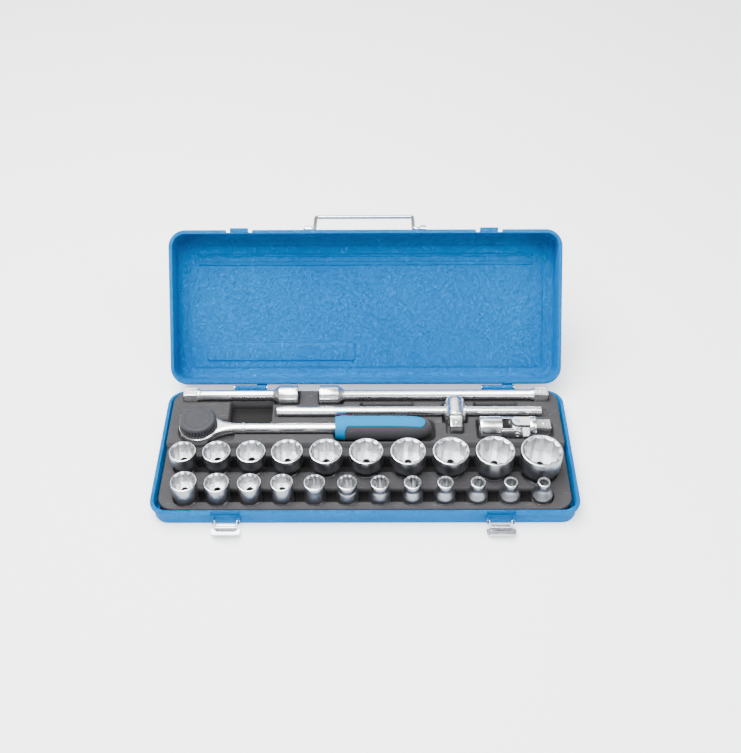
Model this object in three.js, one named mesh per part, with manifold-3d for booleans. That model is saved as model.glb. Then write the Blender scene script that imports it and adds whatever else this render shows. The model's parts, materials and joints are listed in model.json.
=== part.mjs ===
// Half-inch drive socket wrench set in a hinged pressed-steel case.
// Millimetres, +Z up. The origin is the centre of the case's underside, +X runs along
// the width of the case and -Y is its front, where the latches are.

import * as THREE from 'three';
import { mergeVertices } from 'three/addons/utils/BufferGeometryUtils.js';
import ManifoldModule from 'manifold-3d';

const wasm = await ManifoldModule();
wasm.setup();

// ---------------------------------------------------------------- driving dimensions

const GAP = 0.3; // clearance between neighbouring parts

const CASE = {
  width: 437,
  depth: 172,
  corner: 19,
  beadInset: 3, // how far the wall stands inside the rolled bead
  beadHeight: 5.5,
  sheet: 1.2,
  baseHeight: 21,
  lidHeight: 40.5,
  lidEdge: 8,
};

const HINGE = {
  y: CASE.depth / 2 + 3.4,
  z: CASE.baseHeight + GAP / 2,
  openAngle: THREE.MathUtils.degToRad(130),
  knuckleRadius: 3,
  boreRadius: 1.65,
  pinRadius: 1.6,
  places: [-124, 152],
};

const LATCH = {
  places: [-140, 137],
  pocketHalf: 14.5,
  pivotY: -87.6,
  pivotZ: 11,
  wireRadius: 0.9,
  linkLength: 8,
  armX: 11.2,
  linkAngle: THREE.MathUtils.degToRad(-12),
  leverAngle: THREE.MathUtils.degToRad(-9),
};

const HANDLE = {
  halfWidth: 55.5,
  shift: -1.6, // the loose wire has slid this far to one side
  wireRadius: 2.3,
  legLength: 30,
  pivotZ: CASE.baseHeight + 21,
  restAngle: THREE.MathUtils.degToRad(60),
};

const TRAY = {
  floor: 1.5,
  socketTop: 19.5,
  plateauTop: 27,
  halfWidth: 210.5,
  halfDepth: 79.6,
  plateauFront: 2.5,
  corner: 17,
  pocketFloor: 3,
};

const SQUARE = 12.7; // half-inch drive
const SQUARE_HOLE = 12.95;

// Sockets: nominal size, place along the row and length. Every socket stands drive end down.
const BACK_ROW_Y = -23;
const BACK_ROW_LEAN = 0.82; // longer sockets stand this much further forward per millimetre
const BACK_ROW = [
  { size: 20, x: -188, length: 40, drive: 22.4 },
  { size: 21, x: -153, length: 40, drive: 22.8 },
  { size: 22, x: -117.5, length: 40, drive: 23.2 },
  { size: 24, x: -80, length: 42, drive: 24 },
  { size: 25, x: -40, length: 43, drive: 24.4 },
  { size: 26, x: 1.5, length: 43, drive: 25 },
  { size: 27, x: 44.5, length: 44, drive: 26 },
  { size: 28, x: 88.5, length: 44, drive: 27 },
  { size: 30, x: 133.5, length: 46, drive: 28.6 },
  { size: 32, x: 180.5, length: 48, drive: 35 },
];
const FRONT_ROW_Y = -62.5;
const FRONT_ROW = [19, 18, 17, 16, 15, 14, 13, 12, 11, 10, 9, 8];
const FRONT_ROW_START = -182;
const FRONT_ROW_PITCH = 32.9;
const SHORT_SOCKET = 38;
const SMALL_DRIVE = 22;

const RATCHET = {
  y: 21.5,
  z: 29,
  headX: -177.5,
  headRadius: 20.5,
  headLow: 22,
  headHigh: 34.2,
  capTop: 45,
  capRadius: 20.2,
  shaftRadius: 5.3,
  gripStart: -32,
  gripEnd: 71,
  gripRadius: 13.2,
};

const EXTENSION = { y: 69.4, z: 30.6, shaftRadius: 5.4, headRadius: 10.4, headLength: 21 };
const SHORT_EXTENSION = { start: -199, length: 125, headAtStart: false };
const LONG_EXTENSION = { start: -50.4, length: 250, headAtStart: true };

const T_BAR = { y: 45.2, z: 30, start: -96, length: 286, radius: 4.9 };
const SLIDER = { x: 97, radius: 11, half: 13.5, reach: 28 };

const JOINT = { y: 22, z: 29, start: 122, centre: 161.5, end: 197.5, radius: 11.8, pin: 2.9 };

// ---------------------------------------------------------------- finishes

const FINISH = {
  blueEnamel: { color: 0x3d9ad8, roughness: 0.45, metalness: 0.1 },
  trayPlastic: { color: 0x57565a, roughness: 0.75, metalness: 0 },
  chrome: { color: 0xd9dade, roughness: 0.14, metalness: 1 },
  satinChrome: { color: 0xb9babd, roughness: 0.34, metalness: 1 },
  zincPlate: { color: 0xc4c6c9, roughness: 0.3, metalness: 1 },
  capPlastic: { color: 0x55565b, roughness: 0.6, metalness: 0 },
  gripRubber: { color: 0x505157, roughness: 0.8, metalness: 0 },
  gripBlue: { color: 0x2cb4e8, roughness: 0.5, metalness: 0 },
};

// ---------------------------------------------------------------- solids

function toManifold(geometry) {
  let source = geometry.clone();
  source.deleteAttribute('normal');
  source.deleteAttribute('uv');
  source = mergeVertices(source, 1e-4);
  const triangles = [];
  const index = source.index.array;
  for (let i = 0; i < index.length; i += 3) {
    const [a, b, c] = [index[i], index[i + 1], index[i + 2]];
    if (a !== b && b !== c && c !== a) {
      triangles.push(a, b, c);
    }
  }
  return new wasm.Manifold(
    new wasm.Mesh({
      numProp: 3,
      vertProperties: new Float32Array(source.attributes.position.array),
      triVerts: new Uint32Array(triangles),
    }),
  );
}

function toGeometry(solid) {
  const mesh = solid.getMesh();
  const geometry = new THREE.BufferGeometry();
  geometry.setAttribute('position', new THREE.BufferAttribute(mesh.vertProperties.slice(), 3));
  geometry.setIndex(new THREE.BufferAttribute(mesh.triVerts.slice(), 1));
  geometry.computeVertexNormals();
  return geometry;
}

function join(...geometries) {
  return toGeometry(wasm.Manifold.union(geometries.map(toManifold)));
}

function cut(body, ...tools) {
  const tool = wasm.Manifold.union(tools.map(toManifold));
  return toGeometry(toManifold(body).subtract(tool));
}

function overlapOf(first, second) {
  return toGeometry(toManifold(first).intersect(toManifold(second)));
}

function block(x0, x1, y0, y1, z0, z1) {
  const geometry = new THREE.BoxGeometry(x1 - x0, y1 - y0, z1 - z0);
  return geometry.translate((x0 + x1) / 2, (y0 + y1) / 2, (z0 + z1) / 2);
}

function roundedOutline(width, depth, radius) {
  const shape = new THREE.Shape();
  const [x, y] = [width / 2 - radius, depth / 2 - radius];
  shape.absarc(x, y, radius, 0, Math.PI / 2);
  shape.absarc(-x, y, radius, Math.PI / 2, Math.PI);
  shape.absarc(-x, -y, radius, Math.PI, Math.PI * 1.5);
  shape.absarc(x, -y, radius, Math.PI * 1.5, Math.PI * 2);
  return shape;
}

// A slab with rounded corners in plan, standing from z0 to z1.
function slab(width, depth, radius, z0, z1, steps = 3) {
  const outline = roundedOutline(width, depth, radius);
  const geometry = new THREE.ExtrudeGeometry(outline, {
    depth: z1 - z0,
    bevelEnabled: false,
    curveSegments: steps,
  });
  return geometry.translate(0, 0, z0);
}

// The same slab with its upper edge rounded over by a given radius.
function domedSlab(width, depth, radius, z0, z1, edge) {
  const outline = roundedOutline(width, depth, radius);
  const geometry = new THREE.ExtrudeGeometry(outline, {
    depth: z1 - z0,
    bevelThickness: edge,
    bevelSize: edge,
    bevelOffset: -edge,
    bevelSegments: 3,
    curveSegments: 3,
  });
  geometry.translate(0, 0, z0 - edge);
  return cut(geometry, block(-width, width, -depth, depth, z0 - 3 * edge, z0));
}

// A solid of revolution about +Z from [radius, height] points, lowest first.
function turned(points, segments = 16) {
  const profile = points.map(([radius, height]) => new THREE.Vector2(radius, height));
  const geometry = new THREE.LatheGeometry(profile, segments);
  return geometry.rotateX(Math.PI / 2);
}

function cylinderZ(x, y, radius, z0, z1, segments = 16) {
  const geometry = new THREE.CylinderGeometry(radius, radius, z1 - z0, segments);
  return geometry.rotateX(Math.PI / 2).translate(x, y, (z0 + z1) / 2);
}

function cylinderX(x0, x1, y, z, radius, segments = 16) {
  const geometry = new THREE.CylinderGeometry(radius, radius, x1 - x0, segments);
  return geometry.rotateZ(Math.PI / 2).translate((x0 + x1) / 2, y, z);
}

function cylinderY(x, y0, y1, z, radius, segments = 16) {
  const geometry = new THREE.CylinderGeometry(radius, radius, y1 - y0, segments);
  return geometry.translate(x, (y0 + y1) / 2, z);
}

// A turned solid laid along X, starting at x and pointing towards +X.
function turnedAlongX(x, y, z, points, segments = 16) {
  return turned(points, segments).rotateY(Math.PI / 2).translate(x, y, z);
}

// A flat outline in Y and Z, extruded along X.
function sheetProfile(points, x0, x1) {
  const shape = new THREE.Shape(points.map(([y, z]) => new THREE.Vector2(y, z)));
  const geometry = new THREE.ExtrudeGeometry(shape, { depth: x1 - x0, bevelEnabled: false });
  return geometry.rotateX(Math.PI / 2).rotateZ(Math.PI / 2).translate(x0, 0, 0);
}

// A round wire bent through straight stretches with rounded corners.
function bentWire(points, radius, bend, steps, sides = 8) {
  const corners = points.map((point) => new THREE.Vector3(...point));
  const path = new THREE.CurvePath();
  let from = corners[0];
  for (let i = 1; i < corners.length - 1; i += 1) {
    const before = corners[i].clone().sub(corners[i - 1]).setLength(bend);
    const after = corners[i + 1].clone().sub(corners[i]).setLength(bend);
    const start = corners[i].clone().sub(before);
    const end = corners[i].clone().add(after);
    path.add(new THREE.LineCurve3(from, start));
    path.add(new THREE.QuadraticBezierCurve3(start, corners[i], end));
    from = end;
  }
  path.add(new THREE.LineCurve3(from, corners[corners.length - 1]));
  const section = new THREE.Shape().absarc(0, 0, radius, 0, Math.PI * 2);
  const curveSegments = sides / 2; // a full circle gets twice as many
  return new THREE.ExtrudeGeometry(section, { steps, extrudePath: path, curveSegments });
}

// ---------------------------------------------------------------- assembly

const set = new THREE.Group();

function add(name, geometry, finish) {
  const mesh = new THREE.Mesh(geometry, new THREE.MeshStandardMaterial(finish));
  mesh.name = name;
  set.add(mesh);
}

// Turns a solid drawn for the shut case to where it stands with the lid open.
function swungOpen(geometry) {
  geometry.translate(0, -HINGE.y, -HINGE.z);
  geometry.rotateX(-HINGE.openAngle);
  return geometry.translate(0, HINGE.y, HINGE.z);
}

// ---------------------------------------------------------------- case

const WALL = {
  width: CASE.width - 2 * CASE.beadInset,
  depth: CASE.depth - 2 * CASE.beadInset,
  corner: CASE.corner - CASE.beadInset,
};
const WALL_Y = WALL.depth / 2;
const LID_LOW = CASE.baseHeight + GAP;
const LID_TOP = LID_LOW + CASE.lidHeight;

// The rolled bead around a rim, rounded above and below.
function rimBead(z0) {
  const roll = 1.6;
  const outline = roundedOutline(CASE.width, CASE.depth, CASE.corner);
  const geometry = new THREE.ExtrudeGeometry(outline, {
    depth: CASE.beadHeight - 2 * roll,
    bevelThickness: roll,
    bevelSize: roll,
    bevelOffset: -roll,
    bevelSegments: 2,
    curveSegments: 3,
  });
  return geometry.translate(0, 0, z0 + roll);
}

// The two places in the front bead that make room for the latches.
function latchPockets(z0, z1) {
  return LATCH.places.map((x) =>
    block(x - LATCH.pocketHalf, x + LATCH.pocketHalf, -CASE.depth, -WALL_Y, z0, z1),
  );
}

function caseBase() {
  const inside = 2 * CASE.sheet;
  const wall = slab(WALL.width, WALL.depth, WALL.corner, 0, CASE.baseHeight);
  const hollow = slab(
    WALL.width - inside,
    WALL.depth - inside,
    WALL.corner - CASE.sheet,
    CASE.sheet,
    CASE.baseHeight + 5,
  );
  const beadLow = CASE.baseHeight - CASE.beadHeight;
  return cut(join(wall, rimBead(beadLow)), hollow, ...latchPockets(beadLow - 1, CASE.baseHeight + 1));
}

function caseLid() {
  const inside = 2 * CASE.sheet;
  const shell = domedSlab(WALL.width, WALL.depth, WALL.corner, LID_LOW, LID_TOP, CASE.lidEdge);
  const hollow = domedSlab(
    WALL.width - inside,
    WALL.depth - inside,
    WALL.corner - CASE.sheet,
    LID_LOW - 1,
    LID_TOP - CASE.sheet,
    CASE.lidEdge - CASE.sheet,
  );
  const press = 0.9;
  const field = { width: 408, depth: 143, corner: 6 };
  const raised = slab(
    field.width,
    field.depth,
    field.corner,
    LID_TOP - CASE.sheet - press,
    LID_TOP - CASE.sheet / 2,
    2,
  );
  const recess = slab(
    field.width - inside,
    field.depth - inside,
    field.corner - CASE.sheet,
    LID_TOP - press,
    LID_TOP + 1,
    2,
  );
  const slots = [-1, 1].map((side) => {
    const x = side * 71;
    return block(x - 3.2, x + 3.2, -CASE.depth, -WALL_Y + 3, LID_TOP - 11, LID_TOP - 8.6);
  });
  const rim = join(shell, rimBead(LID_LOW));
  const open = cut(rim, hollow, ...latchPockets(LID_LOW - 1, LID_LOW + CASE.beadHeight + 0.2));
  return swungOpen(cut(join(open, raised), recess, ...slots));
}

// A strap bent out around the rim bead and up to the knuckle, for the base side of a hinge.
function hingeLeaf(x0, x1) {
  const metal = 1.2;
  const face = WALL_Y + GAP;
  const reach = CASE.depth / 2 + 0.7;
  const shelf = CASE.baseHeight - CASE.beadHeight - 3.2;
  const strap = sheetProfile(
    [
      [face, 4],
      [face + metal, 4],
      [face + metal, shelf],
      [reach + metal, shelf],
      [reach + metal, HINGE.z - 1],
      [reach, HINGE.z - 1],
      [reach, shelf + metal],
      [face, shelf + metal],
    ],
    x0,
    x1,
  );
  const knuckle = cylinderX(x0, x1, HINGE.y, HINGE.z, HINGE.knuckleRadius);
  const bore = cylinderX(x0 - 1, x1 + 1, HINGE.y, HINGE.z, HINGE.boreRadius);
  return cut(join(strap, knuckle), bore);
}

function hingePin(x) {
  const shank = cylinderX(x - 22.6, x + 13.6, HINGE.y, HINGE.z, HINGE.pinRadius);
  const head = cylinderX(x - 23.2, x - 21.9 - GAP, HINGE.y, HINGE.z, 2.5);
  const rivet = cylinderX(x + 12.9 + GAP, x + 14.2, HINGE.y, HINGE.z, 2.5);
  return join(shank, head, rivet);
}

// The lid's leaf is the base's leaf turned over, so it is mirrored about the pin's height.
function mirroredAboutPin(geometry) {
  geometry.translate(0, 0, -HINGE.z).rotateY(Math.PI);
  return geometry.translate(0, 0, HINGE.z);
}

function addCase() {
  add('case_base', caseBase(), FINISH.blueEnamel);
  add('case_lid', caseLid(), FINISH.blueEnamel);
  HINGE.places.forEach((x, i) => {
    const side = ['left', 'right'][i];
    const lidLeaf = mirroredAboutPin(hingeLeaf(-x - 12.9, -x - 1.5));
    add(`hinge_base_leaf_${side}`, hingeLeaf(x - 21.9, x + 1), FINISH.blueEnamel);
    add(`hinge_lid_leaf_${side}`, swungOpen(lidLeaf), FINISH.blueEnamel);
    add(`hinge_pin_${side}`, hingePin(x), FINISH.zincPlate);
  });
}

// ---------------------------------------------------------------- latches and carrying handle

function latchBracket(x) {
  const face = -WALL_Y - GAP;
  const plate = block(x - 13.6, x + 13.6, face - 1.1, face, 3, 14.8);
  const earFront = LATCH.pivotY - 2.2;
  const ears = [-1, 1].map((side) => {
    const [inner, outer] = [x + side * 12.4, x + side * 13.6];
    const [low, high] = [Math.min(inner, outer), Math.max(inner, outer)];
    return block(low, high, earFront, face, 7.6, 14.4);
  });
  const bore = cylinderX(x - 16, x + 16, LATCH.pivotY, LATCH.pivotZ, 1.2, 12);
  return cut(join(plate, ...ears), bore);
}

const LINK_END = {
  y: LATCH.pivotY - LATCH.linkLength * Math.cos(LATCH.linkAngle),
  z: LATCH.pivotZ + LATCH.linkLength * Math.sin(LATCH.linkAngle),
};

function latchLink(x) {
  const [arm, tip] = [LATCH.armX, LATCH.armX + 3.1];
  const [near, far] = [
    [LATCH.pivotY, LATCH.pivotZ],
    [LINK_END.y, LINK_END.z],
  ];
  const points = [
    [x - tip, ...near],
    [x - arm, ...near],
    [x - arm, ...far],
    [x + arm, ...far],
    [x + arm, ...near],
    [x + tip, ...near],
  ];
  return bentWire(points, LATCH.wireRadius, 1.2, 26, 6);
}

function latchLever(x) {
  const half = 9.4;
  const barrel = cylinderX(-half, half, 0, 0, 2, 14);
  const web = block(-half, half, -1.3, 1.3, -2.6, -0.6);
  const tab = block(-half, half, -2, 5, -3.1, -2);
  const plate = block(-15, 15, -8.6, 1.2, -3.1, -2);
  const lip = block(-12, 12, -8.6, -7.5, -2.6, 2.2);
  const bore = cylinderX(-half - 1, half + 1, 0, 0, 1.12, 12);
  const lever = cut(join(barrel, web, tab, plate, lip), bore);
  return lever.rotateX(-LATCH.leverAngle).translate(x, LINK_END.y, LINK_END.z);
}

function lidCatch(x) {
  const face = -WALL_Y - GAP;
  const plate = block(x - 10, x + 10, face - 1.1, face, 23.6, 31);
  const ledge = block(x - 10, x + 10, face - 4.8, face, 23.6, 26);
  return swungOpen(join(plate, ledge));
}

const BAIL_Y = -WALL_Y - 4.5;

function handleClip(side) {
  const face = -WALL_Y - GAP;
  const plate = block(59.5, 75, face - 1.1, face, HANDLE.pivotZ - 7, HANDLE.pivotZ + 7);
  const eye = cylinderX(61, 68, BAIL_Y, HANDLE.pivotZ, 4.1, 18);
  const bore = cylinderX(58, 70, BAIL_Y, HANDLE.pivotZ, 2.65, 18);
  const rivets = [-3.6, 3.6].map((z) =>
    cylinderY(71.8, face - 2.1, face - 0.5, HANDLE.pivotZ + z, 1.9, 12),
  );
  const clip = cut(join(plate, eye, ...rivets), bore);
  if (side < 0) {
    clip.translate(0, 0, -HANDLE.pivotZ).rotateY(Math.PI).translate(0, 0, HANDLE.pivotZ);
  }
  return swungOpen(clip);
}

function handleBail() {
  const { halfWidth, shift } = HANDLE;
  const tip = 68;
  const pivot = [BAIL_Y, HANDLE.pivotZ];
  const bar = [
    BAIL_Y - HANDLE.legLength * Math.cos(HANDLE.restAngle),
    HANDLE.pivotZ + HANDLE.legLength * Math.sin(HANDLE.restAngle),
  ];
  const points = [
    [shift - tip, ...pivot],
    [shift - halfWidth, ...pivot],
    [shift - halfWidth, ...bar],
    [shift + halfWidth, ...bar],
    [shift + halfWidth, ...pivot],
    [shift + tip, ...pivot],
  ];
  return swungOpen(bentWire(points, HANDLE.wireRadius, 4, 40, 8));
}

function addFittings() {
  LATCH.places.forEach((x, i) => {
    const side = ['left', 'right'][i];
    add(`latch_bracket_${side}`, latchBracket(x), FINISH.blueEnamel);
    add(`latch_link_${side}`, latchLink(x), FINISH.chrome);
    add(`latch_lever_${side}`, latchLever(x), FINISH.chrome);
    add(`lid_catch_${side}`, lidCatch(x), FINISH.blueEnamel);
  });
  add('handle_clip_left', handleClip(-1), FINISH.zincPlate);
  add('handle_clip_right', handleClip(1), FINISH.zincPlate);
  add('handle_bail', handleBail(), FINISH.chrome);
}

// ---------------------------------------------------------------- sockets

function twelvePoint(size, z0, z1) {
  const apothem = size / 2 + 0.12;
  const [tip, notch] = [apothem / Math.cos(Math.PI / 6), apothem / Math.cos(Math.PI / 12)];
  const points = [];
  for (let i = 0; i < 24; i += 1) {
    const radius = i % 2 === 0 ? tip : notch;
    const angle = (i * Math.PI) / 12;
    points.push(new THREE.Vector2(radius * Math.cos(angle), radius * Math.sin(angle)));
  }
  const shape = new THREE.Shape(points);
  const geometry = new THREE.ExtrudeGeometry(shape, { depth: z1 - z0, bevelEnabled: false });
  return geometry.translate(0, 0, z0);
}

function squareHole(z0, z1) {
  const half = SQUARE_HOLE / 2;
  return block(-half, half, -half, half, z0, z1);
}

function socket({ size, length, drive }) {
  const nutRadius = (1.25 * size + 2.6) / 2;
  const driveRadius = drive / 2;
  const shoulder = Math.abs(nutRadius - driveRadius) > 0.4;
  const body = [
    [0, 0],
    [driveRadius - 0.8, 0],
    [driveRadius, 0.8],
    ...(shoulder ? [[driveRadius, 20]] : []),
    ...(shoulder ? [[nutRadius, 26.5]] : []),
    [nutRadius, length - 0.8],
    [nutRadius - 0.8, length],
    [0, length],
  ];
  const nutFloor = nutRadius > driveRadius ? 26.5 : length / 2;
  const boreRadius = Math.min(0.3 * size, 3.6);
  return cut(
    turned(body),
    twelvePoint(size, nutFloor, length + 1),
    squareHole(-1, 16),
    cylinderZ(0, 0, boreRadius, 15, nutFloor + 1, 12),
  );
}

function placedSockets() {
  const back = BACK_ROW.map((each) => ({
    ...each,
    y: BACK_ROW_Y - BACK_ROW_LEAN * (each.length - BACK_ROW[0].length),
  }));
  const front = FRONT_ROW.map((size, i) => ({
    size,
    x: FRONT_ROW_START + FRONT_ROW_PITCH * i,
    y: FRONT_ROW_Y,
    length: size > 18 ? SHORT_SOCKET + 2 : SHORT_SOCKET,
    drive: size > 16 ? SMALL_DRIVE + 0.9 * (size - 16) : SMALL_DRIVE,
  }));
  return [...back, ...front];
}

function addSockets() {
  for (const each of placedSockets()) {
    const geometry = socket(each).translate(each.x, each.y, TRAY.pocketFloor + GAP);
    add(`socket_${each.size}_mm`, geometry, FINISH.chrome);
  }
}

// ---------------------------------------------------------------- ratchet

function ratchetBody() {
  const { y, z, headX, headRadius, headLow, headHigh, shaftRadius, gripEnd } = RATCHET;
  const head = turned(
    [
      [0, headLow],
      [headRadius - 3.5, headLow],
      [headRadius, headLow + 3],
      [headRadius, headHigh],
      [0, headHigh],
    ],
    24,
  ).translate(headX, y, 0);
  const flare = new THREE.Shape([
    new THREE.Vector2(headX + 12, -14),
    new THREE.Vector2(headX + 22, -9.5),
    new THREE.Vector2(headX + 38, -shaftRadius),
    new THREE.Vector2(headX + 38, shaftRadius),
    new THREE.Vector2(headX + 22, 9.5),
    new THREE.Vector2(headX + 12, 14),
  ]);
  const neck = new THREE.ExtrudeGeometry(flare, { depth: 9.6, bevelEnabled: false });
  neck.translate(0, y, z - 4.8);
  const shaft = cylinderX(headX + 34, gripEnd - 16, y, z, shaftRadius, 16);
  const gearBay = cylinderZ(headX, y, 10, headLow - 1, headHigh - 2.4);
  const spindleHole = cylinderZ(headX, y, 3.4, headHigh - 3, headHigh + 1, 12);
  return cut(join(head, neck, shaft), gearBay, spindleHole);
}

function ratchetDrive() {
  const { y, headX, headLow, headHigh } = RATCHET;
  const half = SQUARE / 2;
  const gear = cylinderZ(headX, y, 9.6, headLow, headHigh - 3.2, 24);
  const square = block(headX - half, headX + half, y - half, y + half, 7.5, headLow + 1);
  const detent = new THREE.SphereGeometry(1.9, 10, 6).translate(headX, y - half + 0.7, 13);
  return join(gear, square, detent);
}

function ratchetCap() {
  const { y, headX, headHigh, capTop, capRadius } = RATCHET;
  const low = headHigh + GAP;
  const cap = turned(
    [
      [0, low - 1.8],
      [3, low - 1.8],
      [3, low],
      [capRadius, low],
      [capRadius - 0.9, capTop - 2.6],
      [capRadius - 3, capTop],
      [0, capTop],
    ],
    24,
  );
  return cap.translate(headX, y, 0);
}

// The handle's outline, thinner by a given amount.
function gripForm(less) {
  const { y, z, gripStart, gripEnd, gripRadius } = RATCHET;
  const length = gripEnd - gripStart;
  const form = [
    [0, 0],
    [gripRadius - 2 - less, 0],
    [gripRadius - 0.9 - less, 3],
    [gripRadius - less, 12],
    [gripRadius - 0.4 - less, 60],
    [gripRadius - 1.6 - less, length - 12],
    [gripRadius - 5 - less, length - 4],
    [0, length - less],
  ];
  return turnedAlongX(gripStart, y, z, form, 18);
}

// The zone of the hard blue inlay: a collar at the front and a tongue along the top.
function inlayZone(more) {
  const { y, gripStart } = RATCHET;
  const [collarEnd, tongueEnd, half] = [gripStart + 11, gripStart + 96, 7.4 + more];
  const collar = block(gripStart - 5, collarEnd + more, y - 30, y + 30, 0, 60);
  const straight = block(collarEnd - 2, tongueEnd - 7.4, y - half, y + half, RATCHET.z, 60);
  const tip = cylinderZ(tongueEnd - 7.4, y, half, RATCHET.z, 60, 16);
  return join(collar, straight, tip);
}

function ratchetInlay() {
  return cut(overlapOf(gripForm(-0.3), inlayZone(0)), gripForm(2.2));
}

function ratchetGrip() {
  const { y, z, gripStart, gripEnd, shaftRadius } = RATCHET;
  const bed = cut(inlayZone(GAP), gripForm(2.2 + GAP));
  const bore = cylinderX(gripStart - 10, gripEnd - 15, y, z, shaftRadius + GAP, 16);
  return cut(gripForm(0), bed, bore);
}

function addRatchet() {
  add('ratchet_body', ratchetBody(), FINISH.chrome);
  add('ratchet_drive', ratchetDrive(), FINISH.satinChrome);
  add('ratchet_selector_cap', ratchetCap(), FINISH.capPlastic);
  add('ratchet_grip', ratchetGrip(), FINISH.gripRubber);
  add('ratchet_grip_inlay', ratchetInlay(), FINISH.gripBlue);
}

// ---------------------------------------------------------------- extensions, T-bar and joint

function extension({ start, length, headAtStart }) {
  const { y, z, shaftRadius, headRadius, headLength } = EXTENSION;
  const half = SQUARE / 2;
  const neck = length - headLength;
  const bar = turned(
    [
      [0, 14.6],
      [6.4, 14.6],
      [6.4, 17],
      [shaftRadius, 20],
      [shaftRadius, neck - 7],
      [headRadius - 0.6, neck],
      [headRadius, neck + 1],
      [headRadius, length - 0.8],
      [headRadius - 0.8, length],
      [0, length],
    ],
  );
  const square = block(-half, half, -half, half, 0, 15.6);
  const detent = new THREE.SphereGeometry(1.9, 10, 6).translate(-half + 0.7, 0, 7.5);
  const piece = cut(join(bar, square, detent), squareHole(length - 15, length + 1));
  if (headAtStart) {
    piece.rotateX(Math.PI).translate(0, 0, length);
  }
  return piece.rotateY(Math.PI / 2).translate(start, y, z);
}

function tBarRod() {
  const { y, z, start, length, radius } = T_BAR;
  const form = [
    [0, 0],
    [radius - 0.7, 0],
    [radius, 0.7],
    [radius, length - 0.7],
    [radius - 0.7, length],
    [0, length],
  ];
  return turnedAlongX(start, y, z, form);
}

function tBarSlider() {
  const half = SQUARE / 2;
  const barrel = turned(
    [
      [0, -SLIDER.half],
      [SLIDER.radius - 2, -SLIDER.half],
      [SLIDER.radius, -SLIDER.half + 2],
      [SLIDER.radius, SLIDER.half - 2],
      [SLIDER.radius - 2, SLIDER.half],
      [0, SLIDER.half],
    ],
  );
  const square = block(-half, half, -half, half, SLIDER.half - 1, SLIDER.reach);
  const detent = new THREE.SphereGeometry(1.9, 10, 6).translate(0, -half + 0.7, SLIDER.reach - 6);
  const bore = cylinderX(-20, 20, 0, 0, T_BAR.radius + GAP);
  const slider = cut(join(barrel, square, detent), bore);
  return slider.rotateX(Math.PI / 2).translate(SLIDER.x, T_BAR.y, T_BAR.z);
}

// The two cheeks of a yoke, on both sides of the joint's centre along Z.
function yokeCheeks(x0, x1, boreRadius) {
  const [inner, outer, half] = [7.2, 11.6, 6.2];
  const cheeks = [-1, 1].map((side) => {
    const [low, high] = side < 0 ? [-outer, -inner] : [inner, outer];
    return join(block(x0, x1, -half, half, low, high), cylinderZ(0, 0, half, low, high, 16));
  });
  const round = cylinderX(-60, 60, 0, 0, JOINT.radius);
  return cut(overlapOf(join(...cheeks), round), cylinderZ(0, 0, boreRadius, -20, 20));
}

function jointSocket() {
  const { start, centre, radius, pin } = JOINT;
  const low = start - centre;
  const body = turnedAlongX(low, 0, 0, [
    [0, 0],
    [radius - 0.8, 0],
    [radius, 0.8],
    [radius, 22.5],
    [radius - 1, 23.5],
    [0, 23.5],
  ]);
  const hole = squareHole(-1, 15).rotateY(Math.PI / 2).translate(low, 0, 0);
  const cheeks = yokeCheeks(low + 22, 0, pin + 0.15).rotateX(Math.PI / 2);
  return cut(join(body, cheeks), hole).translate(centre, JOINT.y, JOINT.z);
}

function jointSquare() {
  const { end, centre, radius, pin } = JOINT;
  const high = end - centre;
  const half = SQUARE / 2;
  const body = turnedAlongX(13, 0, 0, [
    [0, 0],
    [radius - 1, 0],
    [radius, 1],
    [radius, 6.2],
    [radius - 1, 7.2],
    [0, 7.2],
  ]);
  const square = block(19, high, -half, half, -half, half);
  const detent = new THREE.SphereGeometry(1.9, 10, 6).translate(28, 0, half - 0.7);
  const cheeks = yokeCheeks(0, 14, pin + 0.15);
  return join(body, square, detent, cheeks).translate(centre, JOINT.y, JOINT.z);
}

function jointCross() {
  const { centre, pin } = JOINT;
  const core = block(-5.4, 5.4, -6.8, 6.8, -6.8, 6.8);
  const upright = cylinderZ(0, 0, pin, -11.3, 11.3, 16);
  const crosswise = cylinderY(0, -11.3, 11.3, 0, pin, 16);
  return join(core, upright, crosswise).translate(centre, JOINT.y, JOINT.z);
}

function addDriveTools() {
  add('extension_bar_125', extension(SHORT_EXTENSION), FINISH.chrome);
  add('extension_bar_250', extension(LONG_EXTENSION), FINISH.chrome);
  add('t_bar_rod', tBarRod(), FINISH.chrome);
  add('t_bar_slider', tBarSlider(), FINISH.chrome);
  add('universal_joint_socket', jointSocket(), FINISH.chrome);
  add('universal_joint_cross', jointCross(), FINISH.satinChrome);
  add('universal_joint_square', jointSquare(), FINISH.chrome);
}

// ---------------------------------------------------------------- tray

const PIT_TOP = TRAY.plateauTop + 5;

function pit(x0, x1, y0, y1, floor) {
  return block(x0, x1, y0, y1, floor, PIT_TOP);
}

function extensionPits({ start, length, headAtStart }) {
  const { y, z, headRadius, headLength } = EXTENSION;
  const end = start + length;
  const [low, high] = headAtStart ? [start, start + headLength + 4] : [end - headLength - 4, end];
  return [
    pit(start - 1.6, end + 1.6, y - 6.9, y + 6.9, z - SQUARE / 2 - 0.4),
    pit(low - 1.6, high + 1.6, y - headRadius - 0.6, y + headRadius - 0.6, z - headRadius - 0.4),
  ];
}

function ratchetPits() {
  const { y, z, headX, gripStart, gripEnd } = RATCHET;
  return [
    cylinderZ(headX, y, 22.6, RATCHET.headLow - 0.8, PIT_TOP, 24),
    cylinderZ(headX, y, 10.4, 5, 25, 16),
    pit(headX + 10, headX + 38, y - 15.5, y + 15.5, 21.2),
    pit(headX + 30, gripStart, y - 6.2, y + 6.2, z - 6.2),
    pit(gripStart - 2, gripEnd - 6, y - 17, y + 14.4, z - 14.2),
    cylinderZ(gripEnd - 6, y, 10, z - 14.2, PIT_TOP, 16),
  ];
}

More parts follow.
